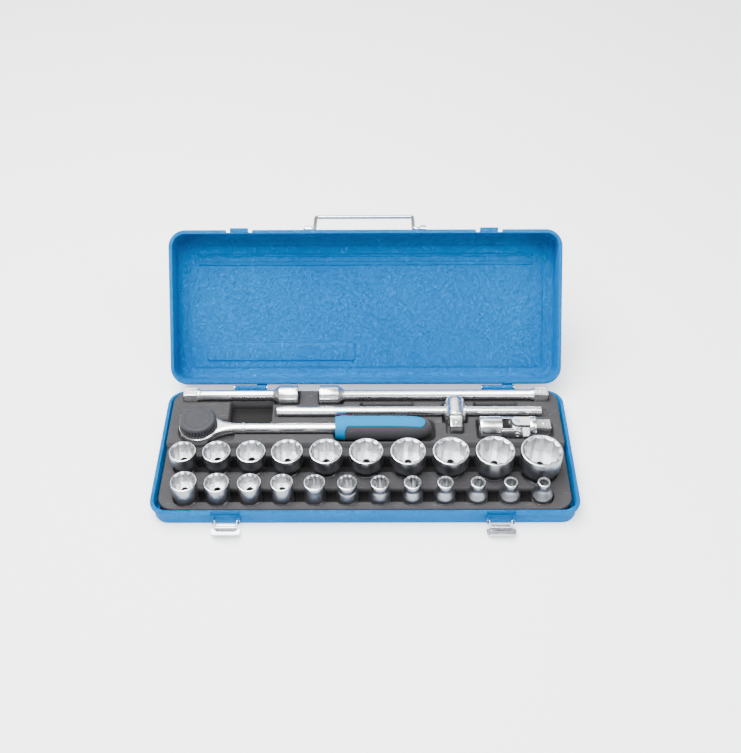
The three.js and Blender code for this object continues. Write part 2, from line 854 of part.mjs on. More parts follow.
function tBarPits() {
  const { y, z, start, length } = T_BAR;
  const { x, half, reach } = SLIDER;
  return [
    pit(start - 1.8, start + length + 8, y - 5.7, y + 5.7, z - 5.6),
    pit(x - 14, x + 13.5, y - half - 1.2, y + half + 1, z - 11.6),
    pit(x - 10.4, x + 8.4, y - reach - 1.8, y - half, z - 8),
  ];
}

function jointPits() {
  const { y, z, start, end, centre, radius } = JOINT;
  return [
    pit(start - 3, centre + 22, y - radius - 2, y + radius + 2.4, z - radius - 0.5),
    pit(centre + 20, end + 3, y - 11.4, y + 9, z - 8.4),
  ];
}

// Deep wells that let fingers reach under the bars.
function fingerWells() {
  return [pit(-148, -101, 31, 66, 12), pit(-6, 53, 53, 62.5, 14), pit(118, 166, 52, 62.5, 16)];
}

function socketPits() {
  const rows = [
    block(-199, 190, -31, -9.5, TRAY.pocketFloor, 40),
    block(-191, 190, FRONT_ROW_Y - 7.5, FRONT_ROW_Y + 9, TRAY.pocketFloor, 40),
  ];
  const cups = placedSockets().map(({ x, y, drive }) =>
    cylinderZ(x, y, drive / 2 + 1.3, TRAY.pocketFloor, 40, 14),
  );
  return [...rows, ...cups];
}

function tray() {
  const [width, depth] = [2 * TRAY.halfWidth, 2 * TRAY.halfDepth];
  const full = slab(width, depth, TRAY.corner, TRAY.floor, TRAY.plateauTop);
  const lowFront = block(-300, 300, -200, TRAY.plateauFront, TRAY.socketTop, 60);
  return cut(
    full,
    lowFront,
    ...socketPits(),
    ...ratchetPits(),
    ...extensionPits(SHORT_EXTENSION),
    ...extensionPits(LONG_EXTENSION),
    ...tBarPits(),
    ...jointPits(),
    ...fingerWells(),
  );
}

// ---------------------------------------------------------------- the whole set

addCase();
add('tray_insert', tray(), FINISH.trayPlastic);
addFittings();
addSockets();
addRatchet();
addDriveTools();

export default set;
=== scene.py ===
"""Looks for a half-inch drive socket wrench set in a hinged steel case.

Sizes below are millimetres; meshes are written in metres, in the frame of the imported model.
"""

import json
import logging
import math
from collections.abc import Callable, Iterable, Sequence
from dataclasses import dataclass, field
from enum import Enum

import bmesh
import bpy
import numpy as np
from mathutils import Matrix, Vector


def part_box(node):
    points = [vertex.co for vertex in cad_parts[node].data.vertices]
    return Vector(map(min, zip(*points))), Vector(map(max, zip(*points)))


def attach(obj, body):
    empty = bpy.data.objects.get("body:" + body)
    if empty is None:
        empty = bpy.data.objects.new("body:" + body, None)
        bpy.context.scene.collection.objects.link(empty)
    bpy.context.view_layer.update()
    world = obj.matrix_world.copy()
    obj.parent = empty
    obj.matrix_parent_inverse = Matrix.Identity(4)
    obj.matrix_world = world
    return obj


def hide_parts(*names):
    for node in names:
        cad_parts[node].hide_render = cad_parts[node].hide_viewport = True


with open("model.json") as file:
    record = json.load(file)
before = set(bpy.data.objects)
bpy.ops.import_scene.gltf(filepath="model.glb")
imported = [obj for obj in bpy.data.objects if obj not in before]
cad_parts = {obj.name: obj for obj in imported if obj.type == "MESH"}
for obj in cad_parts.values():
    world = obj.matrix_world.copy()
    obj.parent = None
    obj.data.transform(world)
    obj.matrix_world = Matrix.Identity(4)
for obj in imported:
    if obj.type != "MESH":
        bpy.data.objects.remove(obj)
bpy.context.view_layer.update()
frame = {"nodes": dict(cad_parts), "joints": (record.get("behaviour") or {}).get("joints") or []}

LOG = logging.getLogger("socket_set")
MM = 0.001

SQUARE = 12.7
SQUARE_HOLE = 12.95
BACK_SIZES = (20, 21, 22, 24, 25, 26, 27, 28, 30, 32)
FRONT_SIZES = (19, 18, 17, 16, 15, 14, 13, 12, 11, 10, 9, 8)
LEFT_LATCH_X = -140.0
RIGHT_LATCH_X = 137.0

Point = tuple[float, float, float]
Flat = tuple[float, float]
Radius = float | Callable[[float], float]


class Side(Enum):
    """The two copies of a fitting, as their CAD names end."""

    LEFT = "left"
    RIGHT = "right"


class Slot(Enum):
    """The record's material slots."""

    ENAMEL = "blue_enamel"
    TRAY = "tray_plastic"
    CHROME = "polished_chrome"
    SATIN = "satin_chrome"
    ZINC = "zinc_plate"
    CAP = "cap_plastic"
    RUBBER = "grip_rubber"
    INLAY = "grip_blue"


@dataclass(frozen=True)
class Extent:
    """The box of a CAD node at rest, in millimetres."""

    low: Vector
    high: Vector

    @classmethod
    def of(cls, node: str) -> "Extent":
        """Reads a CAD node's box.

        Args:
            node: The node's name.

        Returns:
            Its box in millimetres.
        """
        low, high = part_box(node)
        return cls(low / MM, high / MM)

    @property
    def centre(self) -> Vector:
        """The middle of the box."""
        return (self.low + self.high) / 2

    @property
    def size(self) -> Vector:
        """The box's three sides."""
        return self.high - self.low


def joint_named(name: str) -> dict:
    """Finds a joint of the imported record.

    Args:
        name: The joint's name.

    Returns:
        The joint as the record holds it.
    """
    return next(each for each in frame["joints"] if each["name"] == name)


def joint_place(name: str) -> Vector:
    """A hinge's point, in millimetres."""
    return Vector(joint_named(name)["pos_m"]) / MM


# ------------------------------------------------------------------ shader maths


class Signal:
    """One output of a shader node that takes part in Python arithmetic."""

    def __init__(self, recipe: "Recipe", socket: bpy.types.NodeSocket) -> None:
        """Wraps a socket.

        Args:
            recipe: The material being written.
            socket: The output socket.
        """
        self.recipe = recipe
        self.socket = socket

    def _math(self, operation: str, first: "Term", second: "Term") -> "Signal":
        """Adds one Math node.

        Args:
            operation: The node's operation.
            first: Its first value.
            second: Its second value.

        Returns:
            The result.
        """
        return self.recipe.signal("ShaderNodeMath", {"operation": operation}, {0: first, 1: second})

    def __add__(self, other: "Term") -> "Signal":
        """self + other."""
        return self._math("ADD", self, other)

    def __radd__(self, other: "Term") -> "Signal":
        """other + self."""
        return self._math("ADD", other, self)

    def __sub__(self, other: "Term") -> "Signal":
        """self - other."""
        return self._math("SUBTRACT", self, other)

    def __rsub__(self, other: "Term") -> "Signal":
        """other - self."""
        return self._math("SUBTRACT", other, self)

    def __mul__(self, other: "Term") -> "Signal":
        """self * other."""
        return self._math("MULTIPLY", self, other)

    def __rmul__(self, other: "Term") -> "Signal":
        """other * self."""
        return self._math("MULTIPLY", other, self)


Term = Signal | float
Colour = tuple[float, float, float]


class Recipe:
    """A Principled material whose varying inputs are written as expressions."""

    def __init__(self, name: str) -> None:
        """Starts a material.

        Args:
            name: The material's name.
        """
        self.material = bpy.data.materials.new(name)
        self.material.use_nodes = True
        self.tree = self.material.node_tree
        self.shader = next(n for n in self.tree.nodes if n.type == "BSDF_PRINCIPLED")
        self.place = self.signal("ShaderNodeTexCoord", {}, {}, "Object")

    def add(self, kind: str, settings: dict, inputs: dict) -> bpy.types.Node:
        """Adds a node: its settings first, then the values or links of its inputs.

        Args:
            kind: The node's type.
            settings: Attributes to set.
            inputs: Values or signals by input name or number.

        Returns:
            The node.
        """
        node = self.tree.nodes.new(kind)
        for key, value in settings.items():
            setattr(node, key, value)
        for key, value in inputs.items():
            if isinstance(value, Signal):
                self.tree.links.new(value.socket, node.inputs[key])
            elif isinstance(value, tuple) and len(value) == 3 and node.inputs[key].type == "RGBA":
                node.inputs[key].default_value = (*value, 1.0)
            else:
                node.inputs[key].default_value = value
        return node

    def signal(self, kind: str, settings: dict, inputs: dict, output: str | int = 0) -> Signal:
        """Adds a node and wraps one of its outputs.

        Args:
            kind: The node's type.
            settings: As for add.
            inputs: As for add.
            output: The output's name or number.

        Returns:
            The wrapped output.
        """
        return Signal(self, self.add(kind, settings, inputs).outputs[output])

    def noise(self, scale: float, detail: float = 3.0, stretch: Point | None = None) -> Signal:
        """Noise over the surface.

        Args:
            scale: Cells per metre.
            detail: Octaves.
            stretch: Optional scale of the coordinates along each axis.

        Returns:
            A value about one half.
        """
        vector = self.place
        if stretch is not None:
            vector = self.signal("ShaderNodeMapping", {}, {"Vector": self.place, "Scale": stretch})
        inputs = {"Vector": vector, "Scale": scale, "Detail": detail}
        return self.signal("ShaderNodeTexNoise", {}, inputs, "Fac")

    def band(self, value: Signal, low: float, high: float) -> Signal:
        """Stretches a value so that low gives 0 and high gives 1, held between them."""
        inputs = {"Value": value, "From Min": low, "From Max": high}
        return self.signal("ShaderNodeMapRange", {"clamp": True}, inputs)

    def blend(self, factor: Term, first: Colour | Signal, second: Colour | Signal) -> Signal:
        """Mixes two colours.

        Args:
            factor: 0 for the first, 1 for the second.
            first: A colour.
            second: A colour.

        Returns:
            The mixed colour.
        """
        inputs = {0: factor, 6: first, 7: second}
        return self.signal("ShaderNodeMix", {"data_type": "RGBA"}, inputs, 2)

    def bump(self, height: Signal, strength: float, distance_mm: float) -> None:
        """Feeds a height to the shader's normal."""
        inputs = {"Height": height, "Strength": strength, "Distance": distance_mm * MM}
        self.link("Normal", self.signal("ShaderNodeBump", {}, inputs, "Normal"))

    def link(self, name: str, value: Signal) -> None:
        """Links a varying value to a shader input."""
        self.tree.links.new(value.socket, self.shader.inputs[name])

    def fix(self, **values: float | tuple[float, ...]) -> None:
        """Sets constant shader inputs; underscores stand for spaces in their names."""
        for key, value in values.items():
            self.shader.inputs[key.replace("_", " ")].default_value = value


# ------------------------------------------------------------------ finishes


@dataclass(frozen=True)
class HammeredEnamel:
    """Blue hammertone stove enamel over pressed steel."""

    name: str = "hammered_blue_enamel"
    light: Colour = (0.000, 0.390, 0.780)
    deep: Colour = (0.000, 0.135, 0.480)
    bare: Colour = (0.36, 0.40, 0.46)
    cells_per_metre: float = 360.0

    def make(self) -> bpy.types.Material:
        """Writes the material.

        Returns:
            The material.
        """
        recipe = Recipe(self.name)
        wander = recipe.noise(90.0, 2.0)
        settings = {"feature": "SMOOTH_F1", "voronoi_dimensions": "4D"}
        inputs = {
            "Vector": recipe.place,
            "W": wander * 1.5,
            "Scale": self.cells_per_metre,
            "Smoothness": 0.6,
        }
        cell = recipe.signal("ShaderNodeTexVoronoi", settings, inputs, "Distance")
        fine = recipe.noise(1400.0, 2.0)
        broad = recipe.noise(9.0, 2.0)
        pooled = recipe.band(cell, 0.18, 0.52)
        tone = recipe.blend(pooled * 0.85 + broad * 0.30 - 0.15, self.light, self.deep)
        speck = recipe.band(recipe.noise(240.0, 5.0), 0.735, 0.76)
        recipe.link("Base Color", recipe.blend(speck * 0.5, tone, self.bare))
        recipe.link("Roughness", 0.40 + pooled * 0.16 + fine * 0.08)
        recipe.bump(pooled * 0.8 + fine * 0.2, 1.0, 2.2)
        recipe.fix(Metallic=0.15, Specular_IOR_Level=0.06)
        return recipe.material


@dataclass(frozen=True)
class Plating:
    """Plated steel with a fine polish pattern, smudges and faint scratches."""

    name: str
    colour: Colour
    roughness: float
    grain: Point = (1.0, 1.0, 1.0)
    grain_depth: float = 0.03
    smudge: float = 0.10

    def make(self) -> bpy.types.Material:
        """Writes the material.

        Returns:
            The material.
        """
        recipe = Recipe(self.name)
        smudges = recipe.band(recipe.noise(55.0, 4.0), 0.42, 0.72)
        polish = recipe.noise(2600.0, 3.0, self.grain)
        scratch = recipe.band(recipe.noise(700.0, 6.0, (0.06, 1.0, 1.0)), 0.66, 0.70)
        darker = tuple(0.86 * channel for channel in self.colour)
        recipe.link("Base Color", recipe.blend(smudges * 0.6, self.colour, darker))
        recipe.link("Roughness", self.roughness + smudges * self.smudge + scratch * 0.12)
        recipe.bump(polish * 0.5 - scratch * 0.35, self.grain_depth, 0.08)
        recipe.fix(Metallic=1.0)
        return recipe.material


@dataclass(frozen=True)
class Moulding:
    """Grained plastic or rubber with lighter scuffs and, where a height is given, painted shade that
    darkens everything below it.
    """

    name: str
    colour: Colour
    scuff: Colour
    roughness: float
    grain_per_metre: float
    grain_strength: float
    mottle: float = 0.35
    sheen: float = 0.0
    gloss: float = 0.18
    # Height below which the colour is darkened as painted shade; None for no painted shade.
    painted_shade_below_mm: float | None = None

    def make(self) -> bpy.types.Material:
        """Writes the material.

        Returns:
            The material.
        """
        recipe = Recipe(self.name)
        grain = recipe.noise(self.grain_per_metre, 3.0)
        cloud = recipe.band(recipe.noise(28.0, 4.0), 0.3, 0.75)
        rub = recipe.band(recipe.noise(420.0, 5.0, (0.25, 1.0, 1.0)), 0.62, 0.75)
        darker = tuple(0.72 * channel for channel in self.colour)
        base = recipe.blend(cloud * self.mottle + grain * 0.25, self.colour, darker)
        scuffed_and_shaded = recipe.blend(rub * 0.35, base, self.scuff)
        # Painted shade: surfaces below the given height, down in the tray's hollows, are darkened to
        # stand in for the shade that falls there.
        if self.painted_shade_below_mm is not None:
            height = recipe.signal("ShaderNodeSeparateXYZ", {}, {0: recipe.place}, "Z")
            level = self.painted_shade_below_mm * MM
            deep = tuple(0.22 * channel for channel in self.colour)
            scuffed_and_shaded = recipe.blend(recipe.band(height, level - 0.006, level), deep, scuffed_and_shaded)
        recipe.link("Base Color", scuffed_and_shaded)
        recipe.link("Roughness", self.roughness - rub * 0.12 + grain * 0.1)
        recipe.bump(grain, self.grain_strength, 0.35)
        recipe.fix(Metallic=0.0, Sheen_Weight=self.sheen, Specular_IOR_Level=self.gloss)
        return recipe.material


class Finish(Enum):
    """Every finish of the set, with the record's slot that it belongs to."""

    ENAMEL = (HammeredEnamel(), Slot.ENAMEL)
    CHROME = (Plating("bright_chrome", (0.92, 0.93, 0.94), 0.20), Slot.CHROME)
    # Painted shade: the same polished chrome as the bright chrome, made far darker for the socket bodies
    # that stand down in the dark tray; the turned grain is real.
    TURNED = (
        Plating("turned_chrome_painted_shade", (0.30, 0.31, 0.33), 0.30, (0.04, 0.04, 1.0), 0.14, 0.08),
        Slot.CHROME,
    )
    DRAWN = (
        Plating("drawn_chrome", (0.92, 0.93, 0.94), 0.24, (0.03, 1.0, 1.0), 0.10, 0.08),
        Slot.CHROME,
    )
    # Partly painted shade: the insides of sockets and square holes are darker than the bright chrome to
    # stand in for the shade inside them; the rougher broached finish and its grain are real.
    BORE = (
        Plating("broached_steel_painted_shade", (0.48, 0.49, 0.51), 0.32, (1.0, 1.0, 0.05), 0.35),
        Slot.CHROME,
    )
    WIRE = (Plating("worn_chrome", (0.54, 0.56, 0.59), 0.22, (1.0, 0.1, 1.0), 0.10), Slot.CHROME)
    SATIN = (Plating("frosted_chrome", (0.66, 0.67, 0.69), 0.34, (1.0, 1.0, 1.0), 0.15), Slot.SATIN)
    ZINC = (Plating("bright_zinc", (0.50, 0.52, 0.55), 0.24, (1.0, 0.1, 1.0), 0.12), Slot.ZINC)
    TRAY = (
        Moulding(
            "tray_moulding",
            colour=(0.042, 0.041, 0.044),
            scuff=(0.13, 0.127, 0.13),
            roughness=0.62,
            grain_per_metre=1500.0,
            grain_strength=0.8,
            # Painted shade in the tray's hollows below 19 mm.
            painted_shade_below_mm=19.0,
        ),
        Slot.TRAY,
    )
    CAP = (
        Moulding(
            "ribbed_cap_plastic",
            colour=(0.036, 0.037, 0.042),
            scuff=(0.13, 0.13, 0.14),
            roughness=0.50,
            grain_per_metre=3200.0,
            grain_strength=0.25,
        ),
        Slot.CAP,
    )
    RUBBER = (
        Moulding(
            "soft_grip",
            colour=(0.040, 0.041, 0.047),
            scuff=(0.09, 0.09, 0.10),
            roughness=0.68,
            grain_per_metre=3000.0,
            grain_strength=0.5,
            mottle=0.2,
            sheen=0.05,
        ),
        Slot.RUBBER,
    )
    INLAY = (
        Moulding(
            "hard_blue_grip",
            colour=(0.000, 0.170, 0.380),
            scuff=(0.01, 0.20, 0.42),
            roughness=0.50,
            grain_per_metre=2600.0,
            grain_strength=0.12,
            mottle=0.15,
            gloss=0.05,
        ),
        Slot.INLAY,
    )

    @property
    def material(self) -> bpy.types.Material:
        """The finish's material, made when it is first used."""
        recipe = self.value[0]
        return bpy.data.materials.get(recipe.name) or recipe.make()

    @property
    def slot(self) -> str:
        """The name of the record's slot."""
        return self.value[1].value


# ------------------------------------------------------------------ mesh building


def twelve_point(across: float) -> Callable[[float], float]:
    """The polar outline of a twelve-point wrench opening.

    Args:
        across: The width across flats.

    Returns:
        A function from angle to radius.
    """
    sixth = math.pi / 3

    def radius(angle: float) -> float:
        """The radius at an angle, the larger of two crossed hexagons."""
        first = (angle % sixth) - sixth / 2
        second = ((angle + sixth / 2) % sixth) - sixth / 2
        return across / 2 / min(math.cos(first), math.cos(second))

    return radius


def square(half: float, corner: float = 1.36) -> Callable[[float], float]:
    """The polar outline of a square with rounded-off corners.

    Args:
        half: Half its width.
        corner: The largest radius, as a multiple of half.

    Returns:
        A function from angle to radius.
    """
    return lambda angle: min(half / max(abs(math.cos(angle)), abs(math.sin(angle))), corner * half)


def fluted(radius: float, depth: float, count: int) -> Callable[[float], float]:
    """The polar outline of a knurled rim.

    Args:
        radius: The radius over the ridges.
        depth: The depth of the flutes.
        count: The number of flutes.

    Returns:
        A function from angle to radius.
    """
    return lambda angle: radius - depth * (0.5 + 0.5 * math.cos(count * angle)) ** 2


def radius_at(radius: Radius, angle: float) -> float:
    """The radius at an angle, of a number or of an outline."""
    return radius(angle) if callable(radius) else radius


class Form:
    """A mesh being built from rings of points, in millimetres."""

    def __init__(self) -> None:
        """Starts empty."""
        self.points: list[Point] = []
        self.faces: list[tuple[int, ...]] = []
        self.finish_of: list[int] = []
        self.coat = 0

    def ring(self, points: Iterable[Sequence[float]]) -> list[int]:
        """Adds a ring of points.

        Args:
            points: The points in order.

        Returns:
            Their numbers.
        """
        start = len(self.points)
        self.points.extend(tuple(point) for point in points)
        return list(range(start, len(self.points)))

    def face(self, corners: Sequence[int]) -> None:
        """Adds one face in the present coat."""
        self.faces.append(tuple(corners))
        self.finish_of.append(self.coat)

    def bridge(self, low: list[int], high: list[int]) -> None:
        """Joins two rings of equal length with quads."""
        count = len(low)
        for i in range(count):
            j = (i + 1) % count
            self.face((low[i], low[j], high[j], high[i]))

    def lid(self, ring: list[int], upward: bool) -> None:
        """Fills a ring with one face, wound to look up or down its axis."""
        self.face(ring if upward else ring[::-1])

    def loft(self, rings: Sequence[Iterable[Sequence[float]]], loop: bool = False) -> None:
        """Joins rings in order and closes the ends.

        Args:
            rings: Rings of equal length.
            loop: True where the last ring meets the first, as round a hole.
        """
        numbered = [self.ring(ring) for ring in rings]
        for low, high in zip(numbered, numbered[1:]):
            self.bridge(low, high)
        if loop:
            self.bridge(numbered[-1], numbered[0])
        else:
            self.lid(numbered[0], False)
            self.lid(numbered[-1], True)

    def merge(self, other: "Form") -> None:
        """Adds another form's points and faces."""
        start = len(self.points)
        self.points.extend(other.points)
        self.faces.extend(tuple(i + start for i in face) for face in other.faces)
        self.finish_of.extend(other.finish_of)

    def moved(self, matrix: Matrix) -> "Form":
        """Moves every point by a matrix in millimetres."""
        self.points = [tuple(matrix @ Vector(point)) for point in self.points]
        return self


def polar_ring(radius: Radius, height: float, count: int) -> list[Point]:
    """A ring about +Z.

    Args:
        radius: A number or a polar outline.
        height: Its height.
        count: The number of points.

    Returns:
        The points.
    """
    points = []
    for i in range(count):
        angle = 2 * math.pi * i / count
        reach = radius_at(radius, angle)
        points.append((reach * math.cos(angle), reach * math.sin(angle), height))
    return points


def turned(
    rings: Sequence[tuple[Radius, float]],
    loop: bool = False,
    count: int = 96,
    coats: Sequence[int] = (),
) -> Form:
    """A piece whose rings are stacked about +Z.

    Args:
        rings: (radius or outline, height) from the lowest outer ring onwards.
        loop: True for a piece with a hole through it.
        count: Points in a ring.
        coats: Optional finish number of each band between rings.

    Returns:
        The form.
    """
    form = Form()
    numbered = [form.ring(polar_ring(radius, height, count)) for radius, height in rings]
    bands = list(zip(numbered, numbered[1:])) + ([(numbered[-1], numbered[0])] if loop else [])
    for i, (low, high) in enumerate(bands):
        form.coat = coats[i] if i < len(coats) else 0
        form.bridge(low, high)
    form.coat = 0
    if not loop:
        form.lid(numbered[0], False)
        form.lid(numbered[-1], True)
    return form


def along_x(place: Vector, flip: bool = False) -> Matrix:
    """A matrix that lays a piece's +Z along +X, or -X where flipped."""
    turn = -math.pi / 2 if flip else math.pi / 2
    return Matrix.Translation(place) @ Matrix.Rotation(turn, 4, "Y")


def swept_wire(path: Sequence[Vector], radius: float, sides: int = 14) -> Form:
    """A round wire with rounded ends along a path.

    Args:
        path: Points along its centre line.
        radius: The wire's radius.
        sides: Points in a ring.

    Returns:
        The form.
    """
    across = (path[1] - path[0]).orthogonal().normalized()
    rings = []
    for i, point in enumerate(path):
        before = path[max(i - 1, 0)]
        after = path[min(i + 1, len(path) - 1)]
        ahead = (after - before).normalized()
        across = (across - ahead * across.dot(ahead)).normalized()
        up = ahead.cross(across)
        steps = ((0.55, 0.0), (1.0, 0.28)) if i == 0 else ((1.0, 0.0),)
        if i == len(path) - 1:
            steps = ((1.0, -0.28), (0.55, 0.0))
        for share, shift in steps:
            centre = point + ahead * shift * radius
            ring = []
            for k in range(sides):
                angle = 2 * math.pi * k / sides
                ring.append(centre + share * radius * (across * math.cos(angle) + up * math.sin(angle)))
            rings.append(ring)
    form = Form()
    form.loft(rings)
    return form


def rounded_path(corners: Sequence[Vector], bend: float, steps: int = 6) -> list[Vector]:
    """A path through corners, each one rounded.

    Args:
        corners: The corner points.
        bend: How far before a corner the round starts.
        steps: Points in each round.

    Returns:
        The path's points.
    """
    path = [corners[0]]
    for before, corner, after in zip(corners, corners[1:], corners[2:]):
        start = corner + (before - corner).normalized() * bend
        end = corner + (after - corner).normalized() * bend
        for i in range(steps + 1):
            t = i / steps
            path.append(start * (1 - t) ** 2 + corner * 2 * t * (1 - t) + end * t**2)
    path.append(corners[-1])
    return path


def slab(outline: Sequence[Flat], low: float, high: float, edge: float = 0.0, steps: int = 2) -> Form:
    """A flat piece standing on an outline, its edges rounded over.

    Args:
        outline: Corners in order, anticlockwise.
        low: Its underside.
        high: Its top.
        edge: The radius of the edges.
        steps: Steps in each rounded edge.

    Returns:
        The form.
    """
    levels = [(edge * (1 - math.sin(a)), low + edge * (1 - math.cos(a))) for a in quarter(steps)]
    levels += [
        (edge * (1 - math.sin(a)), high - edge * (1 - math.cos(a))) for a in reversed(quarter(steps))
    ]
    if edge <= 0:
        levels = [(0.0, low), (0.0, high)]
    form = Form()
    form.loft([[(x, y, z) for x, y in shrunk(outline, inset)] for inset, z in levels])
    return form


def quarter(steps: int) -> list[float]:
    """Angles across a quarter turn."""
    return [math.pi / 2 * i / steps for i in range(steps + 1)]


def shrunk(outline: Sequence[Flat], inset: float) -> list[Flat]:
    """Moves an outline inwards.

    Args:
        outline: Corners in order, anticlockwise.
        inset: How far each side moves.

    Returns:
        The moved corners.
    """
    result = []
    count = len(outline)
    for i, (x, y) in enumerate(outline):
        before = Vector(outline[i - 1])
        after = Vector(outline[(i + 1) % count])
        here = Vector((x, y))
        first = (here - before).normalized()
        second = (after - here).normalized()
        normal = Vector((-first.y - second.y, first.x + second.x))
        scale = inset / max(0.25, normal.length_squared / 2)
        result.append((x + normal.x * scale, y + normal.y * scale))
    return result


def rounded_rectangle(
    x0: float, x1: float, y0: float, y1: float, radius: float, steps: int = 5
) -> list[Flat]:
    """The outline of a rectangle with round corners, anticlockwise.

    Args:
        x0: Left side.
        x1: Right side.
        y0: Front side.
        y1: Back side.
        radius: Radius of the corners.
        steps: Steps in each corner.

    Returns:
        The corners.
    """
    outline = []
    centres = ((x1 - radius, y0 + radius), (x1 - radius, y1 - radius))
    centres += ((x0 + radius, y1 - radius), (x0 + radius, y0 + radius))
    for i, (cx, cy) in enumerate(centres):
        for angle in quarter(steps):
            turn = angle + (i - 1) * math.pi / 2
            outline.append((cx + radius * math.cos(turn), cy + radius * math.sin(turn)))
    return outline


@dataclass
class Piece:
    """One visible piece: its mesh, finish, body and the CAD nodes that it stands for."""

    name: str
    form: Form
    body: str
    finishes: Sequence[Finish]
    replaces: Sequence[str] = ()
    sharp: float = 32.0
    bevel: float = 0.0

    def build(self) -> bpy.types.Object:
        """Makes the object, dresses it and ties it to its body.

        Returns:
            The object.
        """
        mesh = bpy.data.meshes.new(self.name)
        mesh.from_pydata([Vector(p) * MM for p in self.form.points], [], self.form.faces)
        for finish in self.finishes:
            mesh.materials.append(finish.material)
        mesh.polygons.foreach_set("material_index", self.form.finish_of)
        work = bmesh.new()
        work.from_mesh(mesh)
        bmesh.ops.remove_doubles(work, verts=work.verts, dist=1e-7)
        bmesh.ops.recalc_face_normals(work, faces=work.faces)
        work.to_mesh(mesh)
        work.free()
        mesh.shade_smooth()
        mesh.set_sharp_from_angle(angle=math.radians(self.sharp))
        obj = bpy.data.objects.new(self.name, mesh)
        bpy.context.scene.collection.objects.link(obj)
        if self.bevel > 0:
            soften(obj, self.bevel)
        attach(obj, self.body)
        if self.replaces:
            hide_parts(*self.replaces)
        LOG.info("%s rides on %s", self.name, self.body)
        return obj


def soften(obj: bpy.types.Object, width: float, segments: int = 2) -> None:
    """Rounds an object's sharp edges.

    Args:
        obj: The object.
        width: The width of the rounding, in millimetres.
        segments: Steps across it.
    """
    bevel = obj.modifiers.new("soft edges", "BEVEL")
    bevel.width = width * MM
    bevel.segments = segments
    bevel.limit_method = "ANGLE"
    bevel.angle_limit = math.radians(35)
    bevel.harden_normals = True


def dress(node: str, finish: Finish, bevel: float) -> None:
    """Gives a carried-over CAD node its finish and soft edges.

    Args:
        node: The node's name.
        finish: Its finish.
        bevel: The width of its rounded edges, in millimetres.
    """
    obj = frame["nodes"][node]
    obj.data.materials.clear()
    obj.data.materials.append(finish.material)
    soften(obj, bevel)
    LOG.info("%s keeps its CAD shape", node)


# ------------------------------------------------------------------ sockets


@dataclass
class Socket:
    """One twelve-point socket, standing on its drive end."""

    size: int
    knurl_low: float = 8.6
    knurl_high: float = 14.6
    points: int = 120

    @property
    def node(self) -> str:
        """Its CAD node."""
        return f"socket_{self.size}_mm"

    @property
    def nut_radius(self) -> float:
        """Outside radius of the nut end."""
        return (1.25 * self.size + 2.6) / 2

    def drive_radius(self) -> float:
        """Outside radius of the drive end."""
        if self.size > 19:
            drives = (22.4, 22.8, 23.2, 24.0, 24.4, 25.0, 26.0, 27.0, 28.6, 35.0)
            return drives[BACK_SIZES.index(self.size)] / 2
        return 11 + 0.45 * max(0, self.size - 16)

    def outside(self, length: float) -> list[tuple[Radius, float]]:
        """The outer rings from the drive end to the rim of the nut end.

        Args:
            length: The socket's length.

        Returns:
            Radii and heights.
        """
        drive, nut = self.drive_radius(), self.nut_radius
        rings: list[tuple[Radius, float]] = [(drive - 0.8, 0.0), (drive - 0.22, 0.25), (drive, 0.85)]
        rings += [(drive, self.knurl_low - 2.2), (drive - 0.32, self.knurl_low - 1.9)]
        rings += [(drive - 0.32, self.knurl_low - 1.1), (drive, self.knurl_low - 0.8)]
        rings += [(drive, self.knurl_high), (drive - 0.3, self.knurl_high + 0.3)]
        rings += [(drive - 0.3, self.knurl_high + 1.1), (drive, self.knurl_high + 1.4)]
        if abs(nut - drive) > 0.4:
            step = nut - drive
            rings += [(drive, 19.6), (drive + 0.1 * step, 20.6), (drive + 0.5 * step, 23.2)]
            rings += [(drive + 0.9 * step, 25.9), (nut, 26.9)]
        if nut < drive:
            waist = nut - 0.09 * self.size / 2
            rings += [(waist, 28.0), (waist, length - 8.5), (nut, length - 5.0)]
        rings += [(nut, length - 0.85), (nut - 0.22, length - 0.25), (nut - 0.75, length)]
        return rings

    def form(self, length: float) -> Form:
        """The whole socket: outside, twelve-point mouth, bore and drive square.

        Args:
            length: The socket's length.

        Returns:
            The form, with the broached inside in the second finish, darkened as painted shade, and the
            upward rim and nut-floor step in the bright third finish, lit as painted light.
        """
        outer = self.outside(length)
        nut_floor = 26.5 if self.nut_radius > self.drive_radius() else length / 2
        bore = min(0.3 * self.size, 3.6)
        mouth = twelve_point(self.size + 0.24)
        lead = self.nut_radius - 0.28 * (self.nut_radius - (self.size + 0.24) / 1.93)
        opening = twelve_point(self.size + 0.5)
        inner: list[tuple[Radius, float]] = [(lead, length), (opening, length - 1.3)]
        inner += [(mouth, length - 2.0), (mouth, nut_floor), (bore, nut_floor - 0.4), (bore, 16.4)]
        hole = square(SQUARE_HOLE / 2, 1.38)
        inner += [(hole, 16.0), (hole, 0.5), (square(SQUARE_HOLE / 2 + 0.5, 1.4), 0.0)]
        # Lit and shaded copies of one chrome: the rim and the step at the nut's floor, which face up,
        # keep the bright chrome as painted light; the walls take the darker outside and bore finishes as
        # painted shade.
        coats = [0] * (len(outer) - 2) + [2] * 2 + [1] * 3 + [2] + [1] * (len(inner) - 5) + [0]
        return turned(outer + inner, True, self.points, coats)

    def build(self) -> None:
        """Builds the socket in its pocket."""
        extent = Extent.of(self.node)
        length = extent.size.z
        place = Vector((extent.centre.x, extent.centre.y, extent.low.z))
        turn = Matrix.Rotation(math.radians(7 * (self.size % 5)), 4, "Z")
        form = self.form(length).moved(Matrix.Translation(place) @ turn)
        body = f"socket_{self.size}"
        finishes = (Finish.TURNED, Finish.BORE, Finish.CHROME)
        Piece(f"{body}_with_twelve_points", form, body, finishes, (self.node,), 28).build()


# ------------------------------------------------------------------ ratchet


